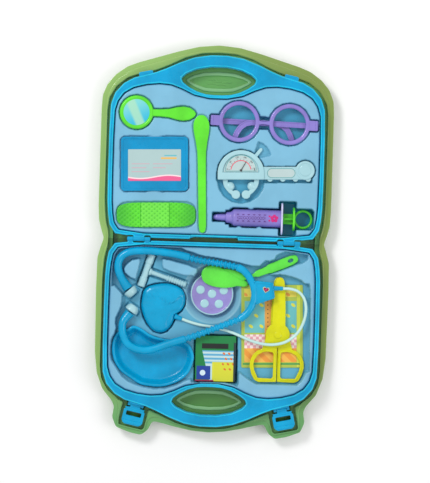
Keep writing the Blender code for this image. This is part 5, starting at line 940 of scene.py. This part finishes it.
def sheet(node, body, look, shape, level_low, name):
    """A formed sheet: the CAD heights sampled on a grid, reshaped, softened and cut to the outline."""
    outline = ring(sections(node, level_low)[0], 1.2, 2.5)
    (x0, y0), (x1, y1) = outline.min(axis=0) - 2 * GRID, outline.max(axis=0) + 2 * GRID
    xs = np.arange(x0, x1 + GRID, GRID)
    ys = np.arange(y0, y1 + GRID, GRID)
    tree = BVHTree.FromObject(NODES[node], bpy.context.evaluated_depsgraph_get())
    down = Vector((0, 0, -1))
    field = np.full((len(ys), len(xs)), np.nan)
    for row, y in enumerate(ys):
        for col, x in enumerate(xs):
            hit = tree.ray_cast(Vector((x / 1000, y / 1000, 0.05)), down)[0]
            if hit is not None:
                field[row, col] = hit.z * 1000
    grid_x, grid_y = np.meshgrid(xs, ys)
    points = np.stack([grid_x.ravel(), grid_y.ravel()], axis=1)
    inside = inside_of(outline, points).reshape(field.shape)
    far, on_edge = nearest(outline, points)
    far = far.reshape(field.shape)
    soft = blurred(shape(field, grid_x, grid_y, np.where(inside, far, -far)), 0.85)
    roll = np.clip((SHEET_EDGE - far) / SHEET_EDGE, 0, 1)
    soft = soft - SHEET_DROP * (1 - np.sqrt(np.maximum(1 - roll ** 2, 0)))
    verts = np.column_stack([points, soft.ravel()])
    outside = ~inside.ravel()
    verts[outside, :2] = on_edge[outside]
    verts[outside, 2] = level_low - SHEET_DROP
    rows, cols = np.nonzero(inside[:-1, :-1] | inside[1:, :-1] | inside[:-1, 1:] | inside[1:, 1:])
    width = len(xs)
    corner = rows * width + cols
    quads = np.stack([corner, corner + 1, corner + width + 1, corner + width], axis=1)
    used = np.unique(quads)
    lookup = np.full(field.size, -1)
    lookup[used] = np.arange(len(used))
    obj = bpy.data.objects.new(name, mesh_of(verts[used], lookup[quads].tolist()))
    obj.modifiers.new("thin", "DECIMATE").ratio = 0.4
    adopt([mesh_from(obj)], name, body, look, node, smooth=180)


def blurred(field, sigma):
    """A height field smoothed over about sigma cells."""
    pad = int(sigma * 4) + 2
    wide = np.pad(field, pad, mode="edge")
    fy = np.fft.fftfreq(wide.shape[0])[:, None]
    fx = np.fft.rfftfreq(wide.shape[1])[None, :]
    gain = np.exp(-2 * (math.pi * sigma) ** 2 * (fx ** 2 + fy ** 2))
    soft = np.fft.irfft2(np.fft.rfft2(wide) * gain, s=wide.shape)
    return soft[pad:-pad, pad:-pad]


def lid_shape(field, x, y, depth):
    """The lid's sheet, with round bumps that reach into the pockets."""
    field = np.where(np.isnan(field), LID_LEVEL, field)
    card_x, card_y = NAME_CARD_AT
    for at, radius in (
        ((card_x, card_y + 34.0), 9), ((card_x, card_y - 34.2), 9), ((18, 44), 4.5), ((30, 15.5), 4.5),
        ((44, 44), 4.5), ((55, 15.5), 4.5), ((7, 124), 4), ((46, 123), 4), ((70, 120), 4), ((108, 124), 4),
        ((-26, 100), 3.5), ((-9, 80), 3.5), ((-28, 60), 3.5),
    ):
        far = np.hypot(x - at[0], y - at[1])
        rise = LID_LEVEL - 2.0 * np.clip(far / radius, 0, 1) ** 2
        field = np.where(far < radius, np.maximum(field, rise), field)
    return field


def base_shape(field, x, y, depth):
    """The case's sheet, with its edge lifted to the rim and a round hollow for the pill dish."""
    field = np.where(np.isnan(field), BASE_LEVEL, field)
    field = np.where((depth > -1) & (depth < SHEET_EDGE) & (field > 10), FIELD_LEVEL, field)
    far = np.hypot(x - PILL_DISH_AT[0], y - PILL_DISH_AT[1])
    bowl = 5.0 + np.clip(far - 27.0, 0, 9) * 1.0
    near = (far < 36) & (field > 12) & (field < 20)
    return np.where(near, np.minimum(field, bowl), field)


# instruments in the lid
def flat_piece(node, body, look, level, low, high, edge, soft=0.8, extra=()):
    """A flat moulding from a CAD node's outer outline at a level, its edges rounded."""
    loop = ring(sections(node, level)[0], 0.7, soft)
    adopt([slab([loop], low, high, edge, 4), *extra], node + "_form", body, look, node, smooth=50)


def make_mirror():
    rim = lathe([
        (15.6, 24.4, 0), (15.6, 26.6, 0.4), (17.4, LID_TOP + 0.2, 1.6), (19.4, LID_TOP + 0.2, 1.4),
        (20.7, 26.4, 1.2), (20.7, 23.6, 1.2), (19.0, 22.4, 0.8), (0, 22.4, 0),
    ], 72, MIRROR_AT)
    flat_piece("mirror_frame", "mirror", LIME, 25, 22.4, 27.2, 1.9, 1.5, [rim])
    face = [(0, 27.62), (6, 27.6), (12, 27.5), (15.9, 27.3), (15.9, 26.6), (0, 26.6)]
    adopt([lathe(face, 72, MIRROR_AT)], "mirror_face", "mirror", GLASS, "mirror_glass")


def make_name_card():
    plate = rounded_rect(81.8, 66.2, NAME_CARD_AT, 4.5, TILT)
    window = rounded_rect(76.0, 60.4, NAME_CARD_AT, 3.0, TILT)
    meshes = [slab([plate], 23.9, 27.3, 1.2, 4), slab([plate, window[::-1]], 26.0, LID_TOP, 0.7, 3)]
    adopt(meshes, "name_card_board", "name_card", PLATE, "name_card_plate", smooth=50)
    label = rounded_rect(64.5, 38.5, spot(0, -LABEL_DROP, TILT, NAME_CARD_AT), 0.8, TILT)
    adopt([slab([label], 27.2, 27.55, 0.08, 1)], "name_card_print", "name_card", LABEL, "name_card_label")


def make_bandage():
    band = turned(oval(48.2, 15.2, 0.42, 0.55, 96), TILT, BANDAGE_AT)
    pad = rounded_rect(34.5, 28.6, np.array(BANDAGE_AT) + (-1.2, 0.2), 2.0, TILT)
    meshes = [slab([ring(band, 0.8, 0.6)], 23.9, 26.9, 1.1, 4), slab([pad], 26.0, 27.9, 0.6, 3)]
    adopt(meshes, "bandage_form", "bandage", BANDAGE, "bandage_strip", smooth=50)


def make_glasses():
    def at(x):
        return spot(x, 0, GLASSES_TILT, GLASSES_AT)

    def block(x, y, width, length, corner, low, high, edge, rounds=2):
        centre = spot(x, y, GLASSES_TILT, GLASSES_AT)
        return slab([rounded_rect(width, length, centre, corner, GLASSES_TILT)], low, high, edge, rounds)

    meshes = []
    for side, low in ((-1, 15.9), (1, 19.5)):
        meshes += [
            lathe([
                (19.8, 25.4, 0), (19.8, 27.0, 0.9), (21.3, LID_TOP, 1.5), (23.6, LID_TOP, 1.5),
                (25.0, 26.8, 0.9), (25.0, 24.2, 1.0), (24.0, 23.4, 0.6), (20.8, 23.4, 0.6),
                (19.8, 24.2, 0.4), (19.8, 25.4, 0),
            ], 80, at(side * 30.8), 4),
            block(side * 59.0, 0, 13.5, 12.5, 1.6, 23.8, 27.3, 0.9, 3),
            block(side * 63.6, 0, 2.2, 12.0, 0.8, 24.8, 27.9, 0.6),
            block(side * 60.5, -4.0, 5.6, 2.4, 0.6, low, 25.2, 0.5),
            block(side * 60.5, 4.0, 5.6, 2.4, 0.6, low, 25.2, 0.5),
        ]
    xs = [-8 + 16 * k / 12 for k in range(13)]
    half = [(x, 1.7 + 1.6 * (abs(x) / 8) ** 2) for x in xs]
    bridge = turned(half + [(x, -y) for x, y in half[::-1]], GLASSES_TILT, GLASSES_AT)
    meshes.append(slab([bridge], 24.0, 27.4, 1.1, 4))
    adopt(meshes, "glasses_form", "glasses", PURPLE, "glasses_front", smooth=50)
    for body, level in (("temple_left", 18.0), ("temple_right", 21.6)):
        node = "glasses_" + body
        loop = ring(sections(node, level)[0], 0.7, 0.9)
        arm = slab([loop], level - 1.5, level + 1.0, 0.7, 3)
        rail = slab([loop, offset(loop, -1.5)[::-1]], level, level + 1.5, 0.5, 2)
        adopt([arm, rail], node + "_arm", body, PURPLE, node, smooth=50)


DIAL_TOP = 26.5


def figure(words, size, at, turn, level, lift=0.12):
    """Plain figures as a thin raised print."""
    curve = bpy.data.curves.new("print", "FONT")
    curve.body = words
    curve.size = size / 1000
    curve.align_x = "CENTER"
    curve.align_y = "CENTER"
    curve.extrude = lift / 2000
    mesh = mesh_from(bpy.data.objects.new("print", curve))
    mesh.transform(Matrix.Translation((at[0] / 1000, at[1] / 1000, level / 1000))
                   @ Matrix.Rotation(math.radians(turn), 4, "Z"))
    return mesh


def heading(degrees):
    """A step of length 1 in a direction."""
    return np.array((math.cos(math.radians(degrees)), math.sin(math.radians(degrees))))


def inked(outline):
    """A thin print on the gauge's dial."""
    return slab([outline], DIAL_TOP, DIAL_TOP + 0.22, 0.05, 1)


def make_gauge():
    def at(points):
        return turned(points, TILT, GAUGE_AT)

    def place(x, y):
        return spot(x, y, TILT, GAUGE_AT)

    def half_disc(radius, skirt, lift=0.0):
        angles = np.radians(np.linspace(0, 180, 40))
        pts = [(-radius, lift - skirt), (radius, lift - skirt)]
        return at(pts + [(radius * math.cos(a), lift + radius * math.sin(a)) for a in angles])

    body = ring(half_disc(28.5, 7.5), 0.8, 1.2)
    window = ring(half_disc(22.2, -0.4, 1.0), 0.8, 0.8)
    meshes = [
        slab([body], 17.9, 25.8, 1.0, 3),
        slab([body, window[::-1]], 24.5, LID_TOP, 1.1, 4),
        slab([at(box(-27.6, 27.6, -7.0, 0.2))], 25, LID_TOP + 0.1, 0.9, 3),
        slab([ring(at(box(25.5, 78.5, -7.5, 8.3)), 0.8, 1.0)], 19.0, 26.1, 1.1, 3),
        slab([at(box(26, 72, 6.6, 8.1))], 25, 26.5, 0.5, 2),
        slab([at(box(26, 78, -7.3, -5.9))], 25, 26.5, 0.5, 2),
        lathe([
            (0, 26.9, 0), (6.4, 26.9, 0.8), (7.2, 26.0, 0.5), (8.2, 26.0, 0.3), (9.2, 26.8, 0.8),
            (11.0, 26.8, 0.9), (11.7, 25.6, 0.8), (11.7, 20, 0.9), (10.6, 19.1, 0.5), (0, 19.1, 0),
        ], 64, place(78.5, 3.6)),
    ]
    for index in range(4):
        bump = circle(3.5, place(82.1 - index * 15.5, -6.6), 32)
        meshes.append(slab([bump], 19.8, 25.6, 0.9, 3))
    adopt(meshes, "gauge_form", "gauge", WHITE, "gauge_body", smooth=45)
    adopt([slab([half_disc(20.6, 0.0, 2.0)], 25.8, 26.6, 0.1, 1)], "gauge_face", "gauge", PAPER, "gauge_dial")
    middle = place(0, 3.6)
    outline = [inked(arc_band(middle, 18.9, 0.7, 2, 182)), inked(at(box(-19, 19, 2.6, 3.3)))]
    adopt(outline, "gauge_outline", "gauge", TEAL_INK)
    adopt([inked(arc_band(middle, 12.2, 1.0, 8, 176))], "gauge_arc", "gauge", RED_INK)
    marks = []
    for k in range(11):
        along = heading(8 + 168 * k / 10 + TILT)
        far = 13.2 + (1.8 if k % 2 == 0 else 1.1)
        marks.append(inked(bar_between(middle + along * 13.2, middle + along * far, 0.3)))
    for k in range(6):
        angle = 174 - 168 * k / 5
        centre = middle + 16.6 * heading(angle + TILT)
        marks.append(figure(str(60 * k), 2.7, centre, angle - 90 + TILT, DIAL_TOP + 0.16))
    adopt(marks, "gauge_marks", "gauge", INK)
    badge = ring(rounded_rect(35.5, 12.8, place(49.2, 0.4), 6.3, TILT), 0.6, 0.3)
    adopt([slab([badge], 25.5, 26.25, 0.1, 1)], "gauge_badge", "gauge", PAPER, "gauge_handle_label")
    line = slab([offset(badge, -0.5), offset(badge, -1.2)[::-1]], 26.2, 26.34, 0.04, 1)
    adopt([line], "gauge_badge_line", "gauge", TEAL_INK)
    flat_piece("gauge_lever", "gauge_lever", WHITE, 22.6, 21.2, 24.2, 0.9)
    for node in ("gauge_jaw_left", "gauge_jaw_right"):
        meshes = [slab([ring(sections(node, 21.4)[0], 0.6, 0.8)], 18.9, 23.9, 1.3, 4)]
        for ball in sections(node, 23.6)[:1]:
            angles = [math.pi * k / 12 for k in range(13)]
            profile = [(5.6 * math.sin(a), 21.4 - 3.5 * math.cos(a)) for a in angles]
            meshes.append(lathe(profile, 32, ball.mean(axis=0)))
        adopt(meshes, node + "_arm", node, WHITE, node, smooth=50)
    flat_piece("gauge_needle", "gauge_needle", INK, 27.2, 26.9, 27.5, 0.12, 0.2)


# syringe
BARREL = 10.8
ALONG_X = Matrix.Translation(SYRINGE_AT) @ Matrix.Rotation(math.radians(90), 4, "Y")


def upright_slab(outlines, thickness, along, edge):
    """A thin plate across the syringe, from outlines in (y, z), at a distance along it."""
    mesh = slab(outlines, -thickness / 2, thickness / 2, edge, 3)
    turn = Matrix.Rotation(math.radians(90), 4, "Z") @ Matrix.Rotation(math.radians(90), 4, "X")
    x, y, z = SYRINGE_AT
    mesh.transform(Matrix.Translation(((x + along) / 1000, y / 1000, z / 1000)) @ turn)
    return mesh


def wrapped(outline):
    """A thin print bent round the barrel; the outline is (along, across)."""
    mesh = slab([outline], 0, 0.12, 0.0, 0)
    work = bmesh.new()
    work.from_mesh(mesh)
    bmesh.ops.triangulate(work, faces=work.faces)
    bmesh.ops.subdivide_edges(work, edges=work.edges, cuts=1)
    x, y, z = SYRINGE_AT
    for vert in work.verts:
        angle = vert.co.y * 1000 / BARREL
        reach = BARREL + 0.05 + vert.co.z * 1000
        across, up = reach * math.sin(angle), reach * math.cos(angle)
        vert.co = Vector((x + vert.co.x * 1000, y + across, z + up)) / 1000
    work.to_mesh(mesh)
    work.free()
    return mesh


def make_syringe():
    x, y, z = SYRINGE_AT
    barrel = lathe([
        (9.2, 60.5, 0), (10.8, 60.5, 0.5), (10.8, 1.0, 1.6), (8.4, -1.0, 1.2), (7.3, -3.0, 1.0),
        (6.9, -8.3, 1.0), (4.6, -8.9, 0.8), (3.9, -20.0, 1.5), (2.2, -24.0, 1.5), (1.2, -24.0, 0),
        (1.2, -8.0, 0), (9.2, 1.8, 0), (9.2, 60.5, 0),
    ], 72, ALONG_X, 4)
    band = lathe([(10.7, 58.9), (11.0, 59.4), (10.7, 59.9)], 72, ALONG_X)
    adopt([barrel, band], "syringe_body", "syringe", PURPLE, "syringe_barrel", smooth=45)
    wing = oval(20.0, 11.0, 0.6, 0.75, 71)
    flange = upright_slab([wing, circle(9.4, steps=48)[::-1]], 2.2, 59.9, 0.7)
    adopt([flange], "syringe_flange", "syringe", FLANGE)
    prints = []
    for k in range(6):
        along = 6.0 + k * 6.6
        prints.append(wrapped(box(along - 0.35, along + 0.35, -4.2, 4.2)))
        for across in (-4.2, 4.2):
            prints.append(wrapped(box(along - 1.5, along + 1.5, across - 0.35, across + 0.35)))
        if k < 5:
            for bend, start in ((-1, 30), (1, -150)):
                prints.append(wrapped(arc_band((along + 3.3, bend * 3.4), 2.6, 0.5, start, start + 120, 12)))
    adopt(prints, "syringe_scale", "syringe", PLUM_INK)
    petals = [circle(2.1, (50.5, 0) + 2.9 * heading(90 + 72 * k), 20) for k in range(5)]
    dots = [circle(1.2, (44.6, across), 16) for across in (2.6, -2.6)]
    adopt([wrapped(loop) for loop in petals + dots], "syringe_blossom", "syringe", PINK_INK)
    rod, end = 23.0, 74.5
    meshes = []
    for half_y, half_z in ((6.4, 1.2), (1.2, 6.4)):
        rib = box(rod + x, end + x, y - half_y, y + half_y)
        meshes.append(slab([rib], z - half_z, z + half_z, 0.4, 2))
    for h in (26, 38, 50, 62):
        disc = [(0, h - 0.7), (6.6, h - 0.7), (6.8, h), (6.6, h + 0.7), (0, h + 0.7)]
        meshes.append(lathe(disc, 40, ALONG_X))
    meshes.append(upright_slab([oval(14.6, 10.8, 0.6, 0.75, 63)], 2.6, end, 0.9))
    meshes.append(closed_pipe(circle(10.3, (x + end + 11.4, y)), z, 1.6, 5))
    adopt(meshes, "plunger_form", "plunger", LIME, "syringe_plunger", smooth=45)


# stethoscope
UPPER_ARM = [
    (-105, -57.5), (-110.5, -50), (-115, -40), (-115.6, -30), (-112.4, -22.6), (-106, -17.6), (-98, -15.2),
    (-88.5, -14.3), (-77, -14.2), (-65, -15), (-53, -16.3), (-40, -18.4), (-30, -20.8),
]
UPPER_RIB = [(-30, -20.8), (-18, -23.8), (-4, -25.7), (13, -27.8), (30, -30.9)]
HORN = [
    (30, -30.9), (37.6, -34.8), (44.6, -42.6), (49.2, -51.5), (51.3, -60), (51.5, -67), (50, -75),
    (46.2, -83), (41, -89), (34.9, -94),
]
LOWER_ARM = [
    (-102.8, -92.5), (-107.2, -100.5), (-108.6, -109), (-106.8, -119), (-102.5, -127.5), (-95.5, -132.7),
    (-87, -135.2), (-79, -135.6), (-71, -134.2), (-61.5, -130.9), (-52, -127.2), (-42, -123.8), (-32, -120.7),
]
LOWER_RIB = [(-32, -120.7), (-19, -116), (-1.2, -108.9), (17, -101.5), (34.9, -94)]
UPPER_TIP = [(-101.7, -62.6), (-96.4, -68.4)]
LOWER_TIP = [(-98.9, -88.8), (-94.3, -82)]
ARM_LEVEL = 23.1
TIP_LEVEL = 19.45
ARM_RADIUS = 4.7


def make_ear_tube(part, arm, ribs, tip):
    """An ear tube, plain at first and then ribbed, and its soft tip."""
    tip = np.array(tip, float)
    inward = (tip[1] - tip[0]) / np.linalg.norm(tip[1] - tip[0])
    line = spline_points([tip[0] - inward * 2.0] + arm[1:], 110)
    t = np.clip(np.arange(len(line)) / 16, 0, 1)
    ease = t * t * (3 - 2 * t)
    z = TIP_LEVEL + (ARM_LEVEL - TIP_LEVEL) * ease
    radius = ARM_RADIUS * (1.3 - 0.3 * ease)
    rib_line = spline_points(ribs, 121)[1:]
    phase = np.arange(1, 121) / 120 * 12
    rib_radius = ARM_RADIUS - 1.6 * np.clip(1.6 * np.abs(np.sin(math.pi * phase)) - 0.35, 0, 1)
    points = np.vstack([np.column_stack([line, z]), np.column_stack([rib_line, np.full(120, ARM_LEVEL)])])
    tube = swept(points, np.concatenate([radius, rib_radius]), 28)
    adopt([tube], "ear_tube_" + part + "_form", "stethoscope", TOY, "ear_tube_" + part, smooth=60)
    turn = Vector((*inward, 0)).to_track_quat("Z", "Y").to_matrix().to_4x4()
    cap = lathe([
        (0, 0, 0), (7.6, 0, 0.8), (8.3, 0.9, 0.8), (8.2, 2.4, 1.2), (7.2, 6.0, 1.6), (5.3, 8.5, 1.6),
        (2.6, 8.5, 0.6), (2.2, 7.4, 0.4), (0, 7.2, 0),
    ], 48, Matrix.Translation((*tip[0], TIP_LEVEL)) @ turn, 4)
    adopt([cap], "ear_tip_" + part + "_form", "stethoscope", WHITE, "ear_tip_" + part, smooth=45)


def make_yoke():
    """The bow between the ear tubes, its soft plate, the spout for the tube and a heart."""
    path = spline_points(HORN, 110)
    rise = np.sin(np.linspace(0, math.pi, len(path)))
    yoke = ring([(50.4, -46.4), (74.4, -48.4), (76.6, -67.4), (53.4, -76.0), (51.6, -61)], 0.7, 2.6)
    spout = [(74, -55.2, 23.2), (79, -55.2, 23.2), (85.6, -55.2, 23.2), (86.2, -55.2, 23.2)]
    meshes = [
        swept(np.column_stack([path, ARM_LEVEL + 0.7 * rise]), ARM_RADIUS - 0.6 * rise, 28),
        slab([yoke], 22.6, 27.0, 1.1, 4),
        slab([offset(yoke, -0.4), offset(yoke, -2.0)[::-1]], 25, 27.3, 0.5, 3),
        swept(spout, [3.0, 2.6, 2.4, 2.2]),
    ]
    adopt(meshes, "yoke_form", "stethoscope", TOY, "stethoscope_yoke", smooth=50)
    t = 2 * math.pi * np.arange(64) / 64
    heart = np.column_stack([16 * np.sin(t) ** 3,
                             13 * np.cos(t) - 5 * np.cos(2 * t) - 2 * np.cos(3 * t) - np.cos(4 * t)])
    for size, top, look, name in (
        (0.26, 27.5, CREAM, "yoke_heart"), (0.2, 27.75, WINE_INK, "yoke_heart_inside"),
        (0.09, 27.95, PINK_INK, "yoke_heart_middle"),
    ):
        mesh = slab([turned(heart * size, -12, HEART_AT)], top - 0.6, top, 0.1, 2)
        adopt([mesh], name, "stethoscope", look)


CHEST = [
    (-26.8, 9.6), (-24.7, 20.6), (-20, 25.7), (-10.4, 29), (1.8, 30.6), (14, 28.6), (22.7, 23.4),
    (26.6, 14.9), (26.3, 5.2), (22.3, -2.3), (16.4, -7.3), (14, -13.5), (10.7, -20.9), (4.8, -27.8),
    (-2.4, -30.5), (-11, -28.3), (-18.6, -20.6), (-23.7, -11), (-27, -0.2),
]


def make_chest_piece():
    """A domed teardrop with a soft S-shaped step across its top."""
    loop = curved(CHEST)
    rows = [(0.90, 5.8), (0.955, 6.2), (0.99, 7.6), (1.0, 10.0), (0.99, 12.2), (0.965, 14.0), (0.93, 15.3),
            (0.88, 16.3), (0.8, 17.0), (0.7, 17.4), (0.6, 17.6), (0.5, 17.75), (0.4, 17.85), (0.3, 17.9),
            (0.2, 17.9), (0.1, 17.9)]
    ridge = spline_points([(-17, 13.5), (-8, 15.5), (0, 11), (7, 6.5), (14, 8.5), (19, 15)], 80)
    crease = spline_points([(19, -2), (11, -5), (8, -12), (5, -20)], 40)
    rings = []
    for share, z in rows:
        row = loop * share
        top = 0.0 if z < 15 else min(1.0, (z - 15) / 2)
        far = np.min(np.linalg.norm(row[:, None] - ridge[None], axis=2), axis=1)
        line = np.min(np.linalg.norm(row[:, None] - crease[None], axis=2), axis=1)
        below = row[:, 1] < np.interp(row[:, 0], ridge[:, 0], ridge[:, 1])
        step = np.where(below, -0.9, 0.0) * np.exp(-(far / 9) ** 2)
        height = z + top * (0.55 * np.exp(-(far / 1.5) ** 2) + step - 1.0 * np.exp(-(line / 1.6) ** 2))
        rings.append(np.column_stack([row + CHEST_AT, height]))
    spout = [(-45.0, -93.4, 15.8), (-41, -94.9, 15.8), (-36.6, -96.4, 15.8), (-36.2, -96.5, 15.8)]
    meshes = [skin(rings), swept(spout, [3.4, 2.9, 2.5, 2.3])]
    adopt(meshes, "chest_piece_form", "stethoscope", TOY, "chest_piece", smooth=70)


# the other instruments in the case
def make_hammer():
    place = Matrix.Translation(HAMMER_AT) @ Matrix.Rotation(math.radians(HAMMER_TURN), 4, "Z")
    head = lathe([
        (0, 20.75, 0), (4.2, 20.75, 0.7), (4.7, 19.6, 0.5), (4.7, 9.5, 0.8), (4.0, 8.4, 0.6),
        (4.0, -8.4, 0.6), (4.7, -9.5, 0.8), (4.7, -19.6, 0.5), (4.2, -20.75, 0.7), (0, -20.75, 0),
    ], 48, place @ Matrix.Rotation(math.radians(-90), 4, "X"), 4)
    adopt([head], "hammer_head_form", "hammer", WHITE, "hammer_head", smooth=45)
    profile = [(0, 4.0), (3.8, 4.0), (4.2, 4.6), (4.2, 6.0), (3.6, 6.8), (2.7, 7.6), (2.6, 26.0)]
    for k in range(8):
        a = 27.0 + k * 3.1
        profile += [(3.0, a), (3.65, a + 0.5), (3.65, a + 1.7), (3.0, a + 2.2)]
    profile += [(3.4, 51.4), (2.6, 51.9), (0, 51.9)]
    handle = lathe(profile, 40, place @ Matrix.Rotation(math.radians(90), 4, "Y"))
    adopt([handle], "hammer_handle_form", "hammer", WHITE, "hammer_handle", smooth=50)


def make_pill_dish():
    cover = lathe([
        (0, 13.0, 0), (22.6, 13.0, 0.5), (23.4, 13.35, 0.3), (25.6, 13.35, 0.6), (26.4, 12.4, 0.6),
        (26.4, 4.9, 0),
    ], 96, PILL_DISH_AT)
    adopt([cover], "dish_lid", "pill_dish", DISC, "pill_dish_cover", smooth=45)
    rim = closed_pipe(circle(25.3, PILL_DISH_AT, 96), 13.2, 0.75, 4)
    adopt([rim], "dish_rim", "pill_dish", WHITE)
    places = [PILL_DISH_AT] + [PILL_DISH_AT + 15.0 * heading(90 + 72 * k) for k in range(5)]
    pill = [(0, 13.9), (2.2, 13.85), (4.2, 13.65), (5.1, 13.3), (5.3, 12.8)]
    pills = [lathe(pill, 36, place) for place in places]
    pills.append(lathe([(0, 5.0), (24, 5.0), (24, 12.6), (0, 12.6)], 48, PILL_DISH_AT))
    adopt(pills, "pill_tops", "pill_dish", WHITE, "pill_dish_base", smooth=60)


BOWL = [
    (-27.5, 0), (-25.4, 6.6), (-19, 11.2), (-10, 12.2), (0, 10.8), (10, 8.0), (19, 5.0), (28, 3.4),
    (31, 0), (28, -3.4), (19, -5.2), (10, -8.6), (0, -11.6), (-10, -12.6), (-19, -11.2), (-25.4, -6.6),
]


def make_spoon():
    rows = [(0.3, 13.75), (0.6, 13.9), (0.82, 14.4), (0.94, 15.2), (0.99, 15.9), (1.0, 16.5), (0.985, 17.0),
            (0.95, 17.4), (0.88, 17.75), (0.78, 18.0), (0.6, 18.25), (0.4, 18.4), (0.2, 18.45)]
    bowl = stepped(curved(BOWL, 0.9), rows, lambda loop, share: turned(loop * share, SPOON_TURN, SPOON_AT))
    loops = sections("spoon", 16.6)
    outline = max(loops, key=lambda loop: loop[:, 0].max())
    slots = [ring(loop, 0.6, 0.5)[::-1] for loop in loops if abs(area(loop)) < 60 and loop[:, 0].min() > 60]
    handle = slab([ring(outline, 0.7, 0.7)] + slots, 14.9, 17.4, 0.7, 3)
    adopt([bowl, handle], "spoon_form", "spoon", SPOON, "spoon", smooth=55)


def make_scissors():
    for node, body in (("scissors_half_a", "scissors_a"), ("scissors_half_b", "scissors_b")):
        low, high = [corner[2] * 1000 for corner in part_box(node)]
        shapes = [ring(loop, 0.7, 1.0) for loop in sections(node, (low + high) / 2)]
        hole = next(loop for loop in shapes[1:] if abs(area(loop)) > 200)
        half = slab([shapes[0]] + [loop[::-1] for loop in shapes[1:]], low, high, 0.8, 3)
        bead = slab([offset(hole, 2.6), offset(hole, 0.2)[::-1]], high - 1.0, high + 0.5, 0.6, 3)
        adopt([half, bead], node + "_form", body, YELLOW, node, smooth=50)
    rivet = lathe([
        (0, 20.4, 0), (3.2, 20.4, 0.5), (4.8, 19.8, 0.8), (4.8, 19.3, 0.2), (2.9, 19.2, 0), (2.9, 14.5, 0),
        (0, 14.5, 0),
    ], 40, RIVET_AT)
    adopt([rivet], "rivet_form", "scissors_a", YELLOW, "scissors_rivet", smooth=45)


def make_dish():
    """A kidney dish: rolled lip, smooth wall, floor with a soft cove."""
    loop = curved([
        (-34.4, 31.8), (-24.8, 36.9), (-14.9, 33.6), (-3.7, 26.6), (8.6, 22.7), (20.8, 21.3), (33, 21.1),
        (42.9, 17.1), (48, 10), (50.5, 0.3), (48.6, -9.5), (44, -19.4), (34.6, -28.3), (22.5, -34.1),
        (10.4, -36.9), (-1.8, -36.7), (-14, -34.7), (-26.4, -27.7), (-38.9, -19), (-46.6, -7.6),
        (-50, 4.5), (-49.8, 16.6), (-46.4, 25.3), (-41.6, 30.3),
    ], 1.2) + KIDNEY_DISH_AT
    rows = [(-8.0, 4.7), (-6.2, 5.0), (-5.0, 6.2), (-4.2, 8.5), (-3.4, 12.0), (-2.6, 15.2), (-1.0, 15.6),
            (-0.2, 16.2), (0.0, 17.0), (-0.4, 17.7), (-1.4, 18.0), (-2.6, 17.8), (-3.6, 17.0), (-4.6, 15.0),
            (-5.6, 12.0), (-7.0, 9.0), (-9.0, 7.3), (-11.5, 6.8)]
    adopt([stepped(loop, rows)], "kidney_dish_form", "kidney_dish", TOY, "kidney_dish", smooth=60)


def make_paper(outline, edge, rounds, name, body, look, node):
    """A flat printed piece as thick as its CAD node."""
    low, high = [corner[2] * 1000 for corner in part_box(node)]
    adopt([slab([outline], low, high, edge, rounds)], name, body, look, node)


make_tray()
make_shell("case_lid", "lid", 1)
make_shell("case_base", "case", -1)
make_latch("latch_left", -1)
make_latch("latch_right", 1)
make_pin("hinge_pin_left", -1)
make_pin("hinge_pin_right", 1)
make_mirror()
make_name_card()
make_bandage()
flat_piece("tongue_depressor", "depressor", LIME, 26.4, 24.9, LID_TOP, 0.9, 1.0)
make_glasses()
make_gauge()
make_syringe()
make_ear_tube("upper", UPPER_ARM, UPPER_RIB, UPPER_TIP)
make_ear_tube("lower", LOWER_ARM, LOWER_RIB, LOWER_TIP)
make_yoke()
make_chest_piece()
make_hammer()
make_pill_dish()
make_spoon()
make_scissors()
make_dish()
make_paper(rounded_rect(75.5, 101.5, CARD_AT, 1.6, TILT), 0.1, 1, "picture_card_print", "picture_card", CARD,
           "picture_card")
make_paper(rounded_rect(49.6, 56.0, CARTON_AT, 0.9, CARTON_TURN), 0.7, 3, "carton_print", "carton", CARTON,
           "medicine_carton")
sheet("tray_insert_lid", "lid", INSERT, lid_shape, 25.6, "insert_sheet_lid")
sheet("tray_insert_base", "case", INSERT, base_shape, 20.0, "insert_sheet_base")

# floor, light and end
floor_mesh = bpy.data.meshes.new("floor")
floor_mesh.from_pydata([(-3, -3, 0), (3, -3, 0), (3, 3, 0), (-3, 3, 0)], [], [(0, 1, 2, 3)])
floor = link(bpy.data.objects.new("floor", floor_mesh))
pale = Maker("floor_pale")
tone = pale.mix(pale.noise(3, 3), (0.86, 0.86, 0.86, 1), (0.90, 0.90, 0.90, 1))
pale.feed(pale.shader, {"Base Color": tone, "Roughness": 0.7})
floor_mesh.materials.append(pale.mat)

world = bpy.data.worlds.new("world")
bpy.context.scene.world = world
world.use_nodes = True
sky = world.node_tree.nodes["Background"]
sky.inputs["Color"].default_value = (1.0, 1.0, 1.0, 1)
sky.inputs["Strength"].default_value = 0.75


def lamp(name, at, size, power):
    """A square soft light that looks at the middle of the object."""
    data = bpy.data.lights.new(name, "AREA")
    data.shape = "RECTANGLE"
    data.size = data.size_y = size
    data.energy = power
    obj = link(bpy.data.objects.new(name, data))
    obj.location = at
    obj.rotation_euler = (-Vector(at)).to_track_quat("-Z", "Y").to_euler()


lamp("key", (-0.9, 0.9, 1.4), 0.5, 16)
lamp("fill", (1.3, -0.4, 1.2), 0.9, 7)

bpy.context.scene.view_settings.view_transform = "Standard"
